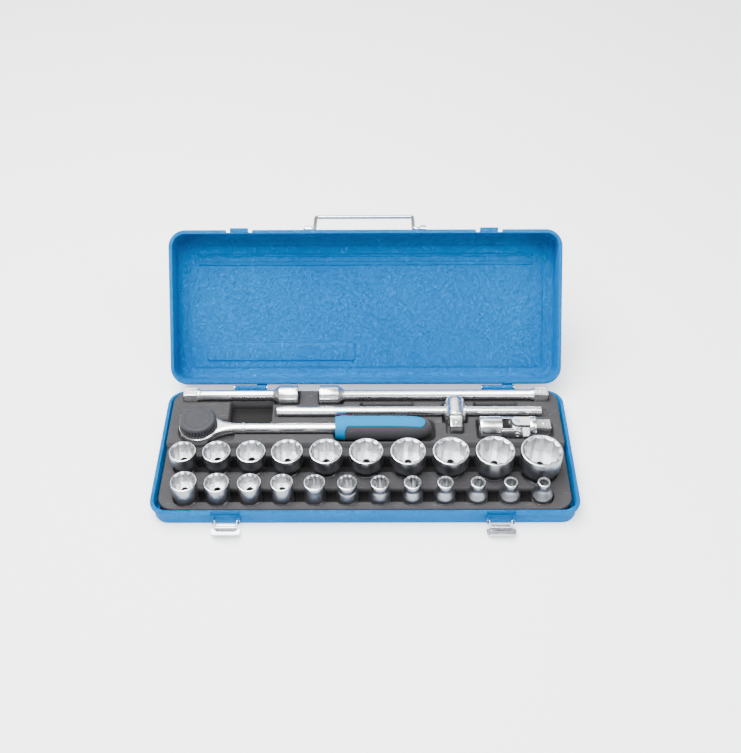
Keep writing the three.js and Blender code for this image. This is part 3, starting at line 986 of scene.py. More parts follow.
@dataclass
class Ratchet:
    """The reversible ratchet: forged body, selector cap, drive square and two-part grip."""

    y: float = 21.5
    z: float = 29.0
    head_x: float = -177.5
    head_radius: float = 20.5
    cap_radius: float = 20.2
    flute_depth: float = 1.15
    flutes: int = 36
    shaft_radius: float = 5.3
    grip_start: float = -32.0
    grip_end: float = 71.0
    grip_radius: float = 13.2
    collar_end: float = 10.4
    tongue_end: float = 96.0
    tongue_half: float = 7.4
    whole_round: float = 99.0

    def head(self) -> Form:
        """The round gear housing, open below."""
        rings: list[tuple[Radius, float]] = [(10.0, 31.8), (10.0, 22.6), (10.6, 22.0)]
        rings += [(self.head_radius - 3.5, 22.0), (self.head_radius - 1.3, 22.7)]
        rings += [(self.head_radius - 0.25, 24.3), (self.head_radius, 25.6)]
        rings += [(self.head_radius, 32.6), (self.head_radius - 0.5, 33.0)]
        rings += [(self.head_radius - 0.5, 33.4), (self.head_radius, 33.8)]
        rings += [(self.head_radius - 0.4, 34.2), (3.4, 34.2), (3.4, 31.8)]
        form = turned(rings, True, 128)
        return form.moved(Matrix.Translation((self.head_x, self.y, 0)))

    def neck(self) -> Form:
        """The forged neck that flares from the shaft to the head.

        Returns:
            The form.
        """
        rings = []
        for i in range(15):
            t = i / 14
            x = self.head_x + 14.5 + 25.5 * t
            half = self.shaft_radius + 8.2 * (1 - t) ** 2.1
            height = 4.9 + 0.4 * t
            ring = []
            for k in range(32):
                angle = 2 * math.pi * k / 32
                power = 0.28 + 0.60 * t
                c, s = math.cos(angle), math.sin(angle)
                across = math.copysign(abs(c) ** power, c) * half
                up = math.copysign(abs(s) ** power, s) * height
                ring.append((x, self.y + across, self.z + up))
            rings.append(ring)
        form = Form()
        form.loft(rings)
        return form

    def shaft(self) -> Form:
        """The round shaft, which runs on inside the grip."""
        length = self.grip_end - 16 - (self.head_x + 34)
        r = self.shaft_radius
        rings = [(r - 0.6, 0.0), (r, 0.6), (r, 12.0), (r + 0.7, 12.8), (r + 0.7, 14.4), (r, 15.2)]
        rings += [(r, length - 0.6), (r - 0.6, length)]
        place = Vector((self.head_x + 34, self.y, self.z))
        return turned(rings, False, 48).moved(along_x(place))

    def cap(self) -> Form:
        """The selector cap with its knurled rim and stepped top."""
        r, depth, flutes = self.cap_radius, self.flute_depth, self.flutes
        rings: list[tuple[Radius, float]] = [(2.9, 32.7), (2.9, 34.5), (r - 0.5, 34.5)]
        rings += [(r - 0.1, 34.9), (r - 0.1, 35.6), (fluted(r - 0.2, depth, flutes), 36.0)]
        rings += [(fluted(r - 0.9, depth, flutes), 42.3)]
        rings += [(r - 1.35, 42.7), (r - 1.7, 43.6), (r - 2.3, 44.45), (r - 3.1, 44.9)]
        rings += [(r - 3.7, 45.0), (r - 6.2, 45.0), (r - 6.5, 44.75), (r - 7.0, 44.75)]
        rings += [(r - 7.3, 45.0), (5.0, 45.0), (4.7, 44.8), (0.8, 44.8)]
        form = turned(rings, False, 240)
        return form.moved(Matrix.Translation((self.head_x, self.y, 0)))

    def drive(self) -> Form:
        """The gear with the half-inch square and its detent ball below it.

        Returns:
            The form.
        """
        gear = turned(
            [(6.9, 20.9), (8.9, 21.1), (9.5, 22.0), (9.6, 22.2), (9.6, 30.8), (9.4, 31.0), (0.8, 31.0)],
            False,
            72,
        )
        half = SQUARE / 2
        stem = turned(
            [(square(half - 1.0, 1.33), 7.5), (square(half - 0.3), 8.0), (square(half), 8.9)]
            + [(square(half), 21.6)],
            False,
            64,
        )
        ball = turned(dome(1.9, 0.9), False, 24)
        ball.moved(Matrix.Translation((0, -half + 0.3, 13)) @ Matrix.Rotation(math.pi / 2, 4, "X"))
        for part in (stem, ball):
            gear.merge(part)
        return gear.moved(Matrix.Translation((self.head_x, self.y, 0)))

    def build(self) -> None:
        """Builds the ratchet's pieces."""
        body = self.head()
        body.merge(self.neck())
        body.merge(self.shaft())
        finish = (Finish.CHROME,)
        Piece("forged_ratchet_body", body, "ratchet", finish, ("ratchet_body",), 40).build()
        finish, node = (Finish.CAP,), "ratchet_selector_cap"
        Piece("knurled_selector_cap", self.cap(), "ratchet_cap", finish, (node,), 24).build()
        finish, node = (Finish.SATIN,), "ratchet_drive"
        Piece("geared_drive_square", self.drive(), "ratchet_drive", finish, (node,)).build()
        self.build_grip()

    def grip_radius_at(self, x: float) -> float:
        """The grip's outer radius.

        Args:
            x: The distance from its front end.

        Returns:
            The radius there.
        """
        length = self.grip_end - self.grip_start
        if x < 3:
            return self.grip_radius - 2.1 + 1.2 * math.sqrt(max(0.0, 1 - (1 - x / 3) ** 2))
        if x < 12:
            t = (x - 3) / 9
            return self.grip_radius - 0.9 + 0.9 * t * (2 - t)
        tail = max(0.0, (x - 55) / (length - 55))
        return self.grip_radius * math.sqrt(max(0.0, 1 - tail**5.5)) * (1 - 0.06 * tail)

    def tongue_half_width(self, x: float) -> float:
        """Half the width of the blue inlay.

        Args:
            x: The distance from the grip's front end.

        Returns:
            Half the tongue's width, or whole_round where the inlay is a collar.
        """
        collar, end, half, fillet = self.collar_end, self.tongue_end, self.tongue_half, 3.2
        if x <= collar:
            return self.whole_round
        if x < collar + fillet:
            t = (x - collar) / fillet
            return half + 5.2 * (1 - math.sin(t * math.pi / 2))
        if x < end - half:
            return half
        reach = x - (end - half)
        return math.sqrt(max(0.0, half**2 - reach**2)) if x < end else 0.0

    def grip_surface(self, lift: float, inlay: bool) -> Form:
        """The grip's skin, either the soft body with its sunken bed or the raised blue inlay.

        Args:
            lift: How far the skin stands off the grip's form.
            inlay: True for the inlay.

        Returns:
            The form.
        """
        length = self.grip_end - self.grip_start
        count = 112
        stations = [0.0, 0.35, 1.0, 2.0, 3.0] + [3 + 0.8 * i for i in range(1, 125)]
        stations = [x for x in stations if x < length - 0.4] + [length - 0.4, length - 0.12]
        if inlay:
            return self.inlay_skin(stations, count, lift)
        rings = []
        for x in stations:
            radius = max(1.0, self.grip_radius_at(x))
            half = self.tongue_half_width(x)
            ring = []
            for k in range(count):
                angle = 2 * math.pi * k / count
                across, up = math.cos(angle) * radius, math.sin(angle) * radius
                inside = half >= self.whole_round or (up > 0 and abs(across) < half + 0.45)
                reach = radius - (1.9 if inside and half > 0 else 0.0)
                least = self.shaft_radius + 0.7 if x < length - 9 else 0.6
                reach = max(least, reach)
                ring.append(
                    (
                        self.grip_start + x,
                        self.y + math.cos(angle) * reach,
                        self.z + math.sin(angle) * reach,
                    )
                )
            rings.append(ring)
        form = Form()
        form.loft(rings)
        return form

    def inlay_skin(self, stations: Sequence[float], count: int, lift: float) -> Form:
        """The blue inlay: a collar round the front and a tongue along the top.

        Args:
            stations: Distances from the front end.
            count: Points round the grip.
            lift: How far it stands proud.

        Returns:
            The form.
        """
        collar_end = self.collar_end
        profile = [(self.grip_radius - 2.9, 0.6), (self.grip_radius - 2.4, 0.0)]
        profile += [(self.grip_radius_at(x) + lift, x) for x in stations if 0.2 < x <= collar_end]
        profile += [(self.grip_radius_at(collar_end) - 0.4, collar_end + 0.5)]
        profile += [(self.grip_radius_at(collar_end) - 2.0, collar_end + 0.5)]
        collar = turned(profile + [(self.grip_radius - 2.9, collar_end)], True, count)
        place = Vector((self.grip_start, self.y, self.z))
        collar.moved(along_x(place))
        across_steps = 20
        rings = []
        last = self.tongue_end - 0.1
        for x in [s for s in stations if collar_end - 1 <= s < last - 0.15] + [last]:
            half = min(self.tongue_half_width(max(x, collar_end + 0.05)), 12.5)
            radius = self.grip_radius_at(x)
            half = min(half, radius * 0.97)
            ring = []
            for k in range(across_steps + 1):
                share = -1 + 2 * k / across_steps
                across = half * math.sin(share * math.pi / 2)
                edge = max(0.0, abs(share) - 0.8) / 0.2
                up = math.sqrt(max(0.0, radius**2 - across**2)) + lift - 0.55 * edge**2
                ring.append((self.grip_start + x, self.y + across, self.z + up))
            for k in range(across_steps, -1, -1):
                share = -1 + 2 * k / across_steps
                across = half * math.sin(share * math.pi / 2)
                up = math.sqrt(max(0.0, radius**2 - across**2)) - 2.2
                ring.append((self.grip_start + x, self.y + across, self.z + up))
            rings.append(ring)
        tongue = Form()
        tongue.loft(rings)
        collar.merge(tongue)
        return collar

    def build_grip(self) -> None:
        """Builds the soft grip and its blue inlay."""
        soft, finish = self.grip_surface(0.0, False), (Finish.RUBBER,)
        Piece("soft_grip_body", soft, "ratchet", finish, ("ratchet_grip",), 50).build()
        blue, finish = self.grip_surface(0.3, True), (Finish.INLAY,)
        Piece("blue_grip_inlay", blue, "ratchet", finish, ("ratchet_grip_inlay",), 50).build()


def dome(radius: float, height: float) -> list[tuple[float, float]]:
    """Rings of a shallow ball standing out of a face.

    Args:
        radius: Its radius at the face.
        height: How far it stands out.

    Returns:
        Radii and heights.
    """
    rings = [(radius, -0.6)]
    for angle in quarter(5)[:-1]:
        rings.append((radius * math.cos(angle), height * math.sin(angle)))
    return rings + [(radius * 0.15, height * 0.99)]


# ------------------------------------------------------------------ drive tools


@dataclass
class Extension:
    """An extension bar: a drive square, a slim shaft and a square-holed head."""

    node: str
    body: str
    head_left: bool
    shaft_radius: float = 5.4
    head_radius: float = 10.4
    head_length: float = 21.0
    y: float = 69.4
    z: float = 30.6

    def form(self, length: float) -> Form:
        """The bar from its square to the rim of its head.

        Args:
            length: The bar's length.

        Returns:
            The form, the inside of the head in the second finish.
        """
        half, r, head = SQUARE / 2, self.shaft_radius, self.head_radius
        neck = length - self.head_length
        rings: list[tuple[Radius, float]] = [(square(half - 1.1, 1.3), 0.0), (square(half - 0.35), 0.4)]
        rings += [(square(half), 1.3), (square(half), 14.3), (6.35, 15.1), (6.4, 17.0), (6.1, 17.8)]
        rings += [(r, 20.0), (r, neck - 7.0), (r + 0.35, neck - 5.6), (head - 1.6, neck - 1.2)]
        rings += [(head - 0.6, neck - 0.2), (head, neck + 1.0), (head, length - 6.0)]
        rings += [(head - 0.35, length - 5.7), (head - 0.35, length - 4.8), (head, length - 4.5)]
        rings += [(head, length - 0.8), (head - 0.25, length - 0.25), (head - 0.8, length)]
        hole = SQUARE_HOLE / 2
        rings += [(square(hole + 0.6, 1.39), length), (square(hole, 1.38), length - 0.7)]
        rings += [(square(hole, 1.38), length - 15)]
        coats = [0] * (len(rings) - 2) + [1]
        form = turned(rings, False, 96, coats)
        ball = turned(dome(1.9, 0.95), False, 24)
        place = Matrix.Translation((-half + 0.25, 0, 7.5))
        ball.moved(place @ Matrix.Rotation(-math.pi / 2, 4, "Y"))
        form.merge(ball)
        return form

    def build(self) -> None:
        """Builds the bar in its place."""
        extent = Extent.of(self.node)
        x = extent.high.x if self.head_left else extent.low.x
        place = Vector((x, self.y, self.z))
        turn = Matrix.Rotation(math.pi, 4, "Z") if self.head_left else Matrix.Identity(4)
        form = self.form(extent.size.x).moved(Matrix.Translation(place) @ turn @ along_x(Vector()))
        finishes = (Finish.DRAWN, Finish.BORE)
        Piece(f"{self.body}_bar", form, self.body, finishes, (self.node,), 30).build()


@dataclass
class TBar:
    """The sliding T-bar: a plain rod and a slider with a drive square."""

    y: float = 45.2
    z: float = 30.0
    slider_x: float = 97.0
    rod_radius: float = 4.9
    slider_radius: float = 11.0
    slider_half: float = 13.5
    slider_reach: float = 28.0

    def rod(self) -> Form:
        """The rod, with a stop groove at each end."""
        extent = Extent.of("t_bar_rod")
        r, length = self.rod_radius, extent.size.x
        rings = [(r - 0.9, 0.0), (r - 0.25, 0.2), (r, 0.8), (r, 5.2), (r - 0.35, 5.5), (r - 0.35, 6.3)]
        rings += [(r, 6.6), (r, length - 6.6), (r - 0.35, length - 6.3), (r - 0.35, length - 5.5)]
        rings += [(r, length - 5.2), (r, length - 0.8), (r - 0.25, length - 0.2), (r - 0.9, length)]
        return turned(rings, False, 48).moved(along_x(Vector((extent.low.x, self.y, self.z))))

    def slider(self) -> Form:
        """The barrel around the rod and the square in front of it.

        Returns:
            The form.
        """
        r, half, mid, far = self.slider_radius, SQUARE / 2, self.slider_half, self.slider_reach
        rings: list[tuple[Radius, float]] = [(r - 2.0, -mid), (r - 0.9, 0.35 - mid), (r - 0.2, 1.2 - mid)]
        rings += [(r, 2.0 - mid), (r, -6.6), (r - 0.45, -6.2), (r - 0.45, 6.2), (r, 6.6), (r, mid - 2.0)]
        rings += [(r - 0.2, mid - 1.2), (r - 0.9, mid - 0.35), (r - 2.0, mid)]
        barrel = turned(rings, False, 72)
        stem = [(square(half), mid - 1), (square(half), far - 1.3), (square(half - 0.35), far - 0.4)]
        barrel.merge(turned(stem + [(square(half - 1.1, 1.3), far)], False, 64))
        ball = turned(dome(1.9, 0.95), False, 24)
        place = Matrix.Translation((0, half - 0.25, far - 6))
        ball.moved(place @ Matrix.Rotation(-math.pi / 2, 4, "X"))
        barrel.merge(ball)
        for side in (-1, 1):
            rings = [(5.25, -0.4), (6.9, -0.4), (6.9, 0.5), (6.5, 0.9), (5.25, 0.9)]
            place = Vector((side * (r - 0.1), 0, 0))
            barrel.merge(turned(rings, True, 48).moved(along_x(place, side < 0)))
        place = Matrix.Translation((self.slider_x, self.y, self.z))
        return barrel.moved(place @ Matrix.Rotation(math.pi / 2, 4, "X"))

    def build(self) -> None:
        """Builds the rod and the slider."""
        finish, node = (Finish.DRAWN,), "t_bar_rod"
        Piece("t_bar_plain_rod", self.rod(), "t_bar", finish, (node,)).build()
        finish, node = (Finish.CHROME,), "t_bar_slider"
        Piece("t_bar_sliding_head", self.slider(), "t_bar_slider", finish, (node,), 34).build()


@dataclass
class UniversalJoint:
    """The universal joint: a socket yoke, a cross with two pins and a square yoke."""

    y: float = 22.0
    z: float = 29.0
    start: float = 122.0
    centre: float = 161.5
    end: float = 197.5
    radius: float = 11.8
    pin: float = 2.9

    def cheek(self, near: float, far: float) -> Form:
        """One rounded cheek of a yoke, standing off the axis.

        Args:
            near: Where it leaves its collar.
            far: The middle of its rounded end.

        Returns:
            The form, its thickness along +Z from 7.2 to the round of the joint.
        """
        half, inner = 6.2, 7.2
        direction = 1 if far > near else -1
        outline = [(near, direction * -half), (far, direction * -half)]
        for i in range(1, 12):
            angle = -math.pi / 2 + math.pi * i / 12
            ahead, aside = half * math.cos(angle), half * math.sin(angle)
            outline.append((far + direction * ahead, direction * aside))
        outline += [(far, direction * half), (near, direction * half)]
        form = Form()
        rings = []
        for inset, level in ((0.0, 0.0), (0.0, 0.8), (0.5, 1.0)):
            ring = []
            for x, y in shrunk(outline, inset):
                reach = math.sqrt(max(0.0, (self.radius - 0.15) ** 2 - y * y))
                ring.append((x, y, inner + (reach - inner) * level))
            rings.append(ring)
        form.loft(rings)
        return form

    def pair(self, near: float, far: float, crosswise: bool) -> Form:
        """Both cheeks of a yoke.

        Args:
            near: Where they leave their collar.
            far: The middle of their rounded ends.
            crosswise: True for cheeks in front and behind, false for above and below.

        Returns:
            The form.
        """
        both = self.cheek(near, far)
        both.merge(self.cheek(near, far).moved(Matrix.Rotation(math.pi, 4, "X")))
        if crosswise:
            both.moved(Matrix.Rotation(math.pi / 2, 4, "X"))
        return both

    def socket_yoke(self) -> Form:
        """The square-holed end with its two cheeks."""
        r, hole, low = self.radius, SQUARE_HOLE / 2, self.start - self.centre
        rings: list[tuple[Radius, float]] = [(square(hole, 1.38), 15.0), (square(hole, 1.38), 0.7)]
        rings += [(square(hole + 0.6, 1.39), 0.0), (r - 0.8, 0.0), (r - 0.25, 0.25), (r, 0.8)]
        rings += [(r, 3.6), (r - 0.35, 3.9), (r - 0.35, 4.7), (r, 5.0), (r, 21.8), (r - 0.3, 22.8)]
        rings += [(r - 1.4, 23.5)]
        body = turned(rings, False, 80, [1]).moved(along_x(Vector((low, 0, 0))))
        body.merge(self.pair(low + 22, 0.0, True))
        return body

    def square_yoke(self) -> Form:
        """The square end with its two cheeks."""
        r, half, high = self.radius, SQUARE / 2, self.end - self.centre
        rings: list[tuple[Radius, float]] = [(r - 1.4, 13.0), (r - 0.3, 13.5), (r, 14.4), (r, 18.8)]
        rings += [(r - 0.3, 19.6), (r - 1.4, 20.2), (square(half + 0.4, 1.4), 20.4)]
        rings += [(square(half), 21.2), (square(half), high - 1.3), (square(half - 0.35), high - 0.4)]
        rings += [(square(half - 1.1, 1.3), high)]
        body = turned(rings, False, 80).moved(along_x(Vector()))
        body.merge(self.pair(14.0, 0.0, False))
        ball = turned(dome(1.9, 0.95), False, 24)
        body.merge(ball.moved(Matrix.Translation((28, 0, half - 0.25))))
        return body

    def cross(self) -> Form:
        """The block between the yokes and its two pins, their ends dished."""
        outline = rounded_rectangle(-5.4, 5.4, -6.8, 6.8, 1.2, 3)
        form = slab(outline, -6.8, 6.8, 0.5)
        rings = [(1.4, -11.0), (1.6, -11.3), (self.pin - 0.4, -11.3), (self.pin, -10.9)]
        rings += [(r, -z) for r, z in reversed(rings)]
        pin = turned(rings, False, 40)
        crossing = turned(rings, False, 40).moved(Matrix.Rotation(math.pi / 2, 4, "X"))
        form.merge(pin)
        form.merge(crossing)
        return form

    def build(self) -> None:
        """Builds the three pieces of the joint."""
        parts = (
            ("joint_socket_yoke", self.socket_yoke(), "joint_socket", "universal_joint_socket"),
            ("joint_cross_block", self.cross(), "joint_cross", "universal_joint_cross"),
            ("joint_square_yoke", self.square_yoke(), "joint_square", "universal_joint_square"),
        )
        for name, form, body, node in parts:
            form.moved(Matrix.Translation((self.centre, self.y, self.z)))
            finishes = (Finish.SATIN,) if "cross" in name else (Finish.CHROME, Finish.BORE)
            Piece(name, form, body, finishes, (node,), 32).build()


# ------------------------------------------------------------------ case


@dataclass
class PressedCase:
    """The pressed-steel base and lid with their rolled beads."""

    width: float = 437.0
    depth: float = 172.0
    corner: float = 19.0
    bead_out: float = 3.0
    bead_height: float = 5.5
    sheet: float = 1.2
    base_height: float = 21.0
    lid_low: float = 21.3
    lid_height: float = 40.5
    pocket_places: tuple[float, float] = (LEFT_LATCH_X, RIGHT_LATCH_X)
    pocket_half: float = 14.5
    slot_places: tuple[float, float] = (-71.0, 71.0)
    slot_half: float = 3.2
    edge: float = 8.0
    field_half: float = 204.0
    rib_bands: tuple[Flat, Flat] = ((-60.8, -57.0), (-52.0, -47.0))
    lug_places: tuple[float, float] = (-53.0, 52.0)
    corner_steps: int = 14

    def swing(self) -> Matrix:
        """The matrix that opens the lid from shut to where it rests."""
        place = joint_place("lid_hinge")
        about = Matrix.Rotation(math.radians(joint_named("lid_hinge")["range_deg"][0]), 4, "X")
        return Matrix.Translation(place) @ about @ Matrix.Translation(-place)

    def stations(self) -> list[tuple[Vector, Vector, float]]:
        """Points along the wall's outline, as (point, outward direction, share of bead).

        Returns:
            The stations, anticlockwise from the middle of the right side.
        """
        half_x = self.width / 2 - self.bead_out
        half_y = self.depth / 2 - self.bead_out
        r = self.corner - self.bead_out
        found: list[tuple[Vector, Vector, float]] = []
        found.append((Vector((half_x, 0)), Vector((1, 0)), 1.0))
        centres = ((1, 1, 0), (-1, 1, 1), (-1, -1, 2), (1, -1, 3))
        for sx, sy, turn in centres:
            centre = Vector((sx * (half_x - r), sy * (half_y - r)))
            for angle in quarter(self.corner_steps):
                heading = angle + turn * math.pi / 2
                out = Vector((math.cos(heading), math.sin(heading)))
                found.append((centre + out * r, out, 1.0))
            if turn == 2:
                found += self.front_stations(-half_y)
        return found

    def front_stations(self, y: float) -> list[tuple[Vector, Vector, float]]:
        """Stations along the front, where the bead stops for the latches."""
        wide = self.slot_half
        marks = [(x, 1.0) for place in self.slot_places for x in (place - wide, place + wide)]
        for place in self.pocket_places:
            for side in (-1, 1):
                edge = place + side * self.pocket_half
                marks += [(edge + side * 0.9, 1.0), (edge + side * 0.25, 0.9), (edge, 0.0)]
        return [(Vector((x, y)), Vector((0, -1)), share) for x, share in sorted(marks)]

    def walls(self, profile: Sequence[Flat], flat_from: float, holes: Sequence[int] = ()) -> Form:
        """Sweeps a profile round the outline, from the outer face over the rim to the inner.

        Args:
            profile: (distance outside the wall's face, height) points.
            flat_from: Distances above this are bead and shrink in the pockets.
            holes: The outer and inner band that a slot goes through, if any.

        Returns:
            The form, closed by one face at each end of the profile.
        """
        form = Form()
        stations = self.stations()
        half = Vector((self.width / 2 - self.bead_out, self.depth / 2 - self.bead_out))
        rings = []
        for out, z in profile:
            ring = []
            for point, outward, share in stations:
                reach = out * share + (1 - share) * min(out, flat_from) if out > flat_from else out
                radius = self.corner - self.bead_out + reach
                if radius < 2.0:
                    share_x = max(-1, min(1, point.x / half.x))
                    share_y = max(-1, min(1, point.y / half.y))
                    place = Vector((share_x * (half.x + reach), share_y * (half.y + reach)))
                else:
                    place = point + outward * reach
                ring.append((place.x, place.y, z))
            rings.append(form.ring(ring))
        slots = set()
        for i, (point, _, _) in enumerate(stations):
            starts = [place - self.slot_half for place in self.slot_places]
            if point.y < -half.y + 0.1 and any(abs(point.x - x) < 0.01 for x in starts):
                slots.add(i)
        for band, (low, high) in enumerate(zip(rings, rings[1:])):
            for i in range(len(low)):
                j = (i + 1) % len(low)
                if band in holes and i in slots:
                    continue
                form.face((low[i], low[j], high[j], high[i]))
        if holes:
            low_out, high_out = rings[holes[0]], rings[holes[0] + 1]
            high_in, low_in = rings[holes[1]], rings[holes[1] + 1]
            for i in slots:
                first = [low_out[i], low_out[i + 1], high_out[i + 1], high_out[i]]
                second = [low_in[i], low_in[i + 1], high_in[i + 1], high_in[i]]
                form.bridge(first, second)
        form.lid(rings[0], False)
        form.lid(rings[-1], True)
        return form

    def bead(self, low: float, turned_over: bool) -> list[Flat]:
        """The rolled bead's outside, from the wall round to its rim.

        Args:
            low: The bead's lower edge.
            turned_over: True for the lid's, whose rim faces down.

        Returns:
            Profile points from the wall to the rim.
        """
        high, out, roll = low + self.bead_height, self.bead_out, 2.2
        middle_out, turns = out - roll, [(math.sin(a), math.cos(a)) for a in quarter(5)]
        points = [(0.0, low - 0.5), (0.35, low)]
        points += [(middle_out + roll * s, low + roll * (1 - c)) for s, c in turns]
        points += [(middle_out + roll * c, high - roll * (1 - s)) for s, c in turns]
        if turned_over:
            middle = 2 * low + self.bead_height
            points = [(x, middle - z) for x, z in points]
        return points

    def base(self) -> Form:
        """The base tray of the case."""
        s, bead_low = self.sheet, self.base_height - self.bead_height
        profile = [(-2.5, 0.0), (-1.2, 0.25), (-0.35, 1.0), (0.0, 2.4)]
        profile += self.bead(bead_low, False)
        profile += [(-0.9, self.base_height), (-s, self.base_height - 0.4)]
        profile += [(-s, s + 2.4), (-s - 0.5, s + 0.9), (-s - 1.6, s), (-9.0, s)]
        return self.walls(profile, 0.0)

    def lid(self) -> Form:
        """The lid, drawn shut and then swung open.

        Returns:
            The form.
        """
        s, low, top, edge = self.sheet, self.lid_low, self.lid_low + self.lid_height, self.edge
        field_out = self.field_half - (self.width / 2 - self.bead_out)
        profile = [(field_out - 3.6, top - 0.9), (field_out - 1.6, top - 0.75), (field_out - 0.3, top)]
        profile += [(-edge * (1 - math.sin(a)), top - edge * (1 - math.cos(a))) for a in quarter(8)]
        hole_outer = len(profile)
        profile += [(0.0, top - 8.6), (0.0, top - 11.0)]
        profile += self.bead(low, True)
        profile += [(-0.9, low), (-s, low + 0.4)]
        hole_inner = len(profile)
        profile += [(-s, top - 11.0), (-s, top - 8.6)]
        inner = edge - s
        profile += [
            (-s - inner * (1 - math.cos(a)), top - s - inner * (1 - math.sin(a))) for a in quarter(8)
        ]
        profile += [(field_out + 0.6, top - s), (field_out - 0.1, top - s + 0.25)]
        profile += [(field_out - 0.7, top - s + 0.2), (field_out - 2.6, top - s - 0.95)]
        profile += [(field_out - 3.4, top - s - 1.1)]
        form = self.walls(profile, 0.0, (hole_outer, hole_inner))
        form.merge(self.ribs(top - s - 1.1))
        return form.moved(self.swing())

    def ribs(self, face: float) -> Form:
        """Two long ribs, a plain name pad and the strap lugs inside the lid.

        Args:
            face: The height of the pressed field's inner face.

        Returns:
            The form.
        """
        form = Form()
        for y0, y1 in self.rib_bands:
            outline = rounded_rectangle(-191, 191, y0, y1, (y1 - y0) / 2 - 0.05, 5)
            form.merge(self.hung(outline, face, 1.6, 1.3))
        pad = rounded_rectangle(-183, -12, 40.5, 62.5, 4.5, 6)
        form.merge(self.hung(pad, face, 1.3, 1.6))
        wall = Matrix.Translation((0, self.bead_out + self.sheet - self.depth / 2, 0))
        upright = Matrix.Rotation(math.pi / 2, 4, "X") @ Matrix.Scale(-1, 4, Vector((0, 0, 1)))
        for x in self.lug_places:
            outline = rounded_rectangle(x - 7, x + 7, 40.0, 53.5, 2.0, 4)
            form.merge(slab(outline, -0.4, 1.3, 0.6).moved(wall @ upright))
        return form

    def hung(self, outline: Sequence[Flat], face: float, height: float, slope: float) -> Form:
        """A pressed shape with sloping sides that hangs from the lid's inner face.

        Args:
            outline: Its foot.
            face: The height of the inner face.
            height: How far it stands off the face.
            slope: The run of its sloping sides.

        Returns:
            The form.
        """
        form = Form()
        steps = ((slope * 1.15, -height), (slope * 0.85, -0.9 * height), (0.0, 0.0), (0.0, 0.4))
        form.loft([[(x, y, face + z) for x, y in shrunk(outline, inset)] for inset, z in steps])
        return form

    def build(self) -> None:
        """Builds the base and the lid."""
        finish = (Finish.ENAMEL,)
        Piece("case_base_pressing", self.base(), "case", finish, ("case_base",), 50).build()
        Piece("case_lid_pressing", self.lid(), "lid", finish, ("case_lid",), 50).build()
        for side in Side:
            for leaf in ("base", "lid"):
                dress(f"hinge_{leaf}_leaf_{side.value}", Finish.ENAMEL, 0.35)
            dress(f"hinge_pin_{side.value}", Finish.ZINC, 0.3)


# ------------------------------------------------------------------ tray


@dataclass(frozen=True)
class Pit:
    """A rectangular hollow with rounded corners, or a round one where its sides are equal."""

    x0: float
    x1: float
    y0: float
    y1: float
    floor: float
    corner: float = 3.0

    def distance(self, x: np.ndarray, y: np.ndarray) -> np.ndarray:
        """The signed distance to its outline, negative inside.

        Args:
            x: Points' x.
            y: Points' y.

        Returns:
            Distances.
        """
        centre_x, centre_y = (self.x0 + self.x1) / 2, (self.y0 + self.y1) / 2
        across = np.abs(x - centre_x) - (self.x1 - self.x0) / 2 + self.corner
        along = np.abs(y - centre_y) - (self.y1 - self.y0) / 2 + self.corner
        outside = np.hypot(np.maximum(across, 0), np.maximum(along, 0))
        return outside + np.minimum(np.maximum(across, along), 0) - self.corner


def round_pit(x: float, y: float, radius: float, floor: float) -> Pit:
    """A round hollow."""
    return Pit(x - radius, x + radius, y - radius, y + radius, floor, radius)


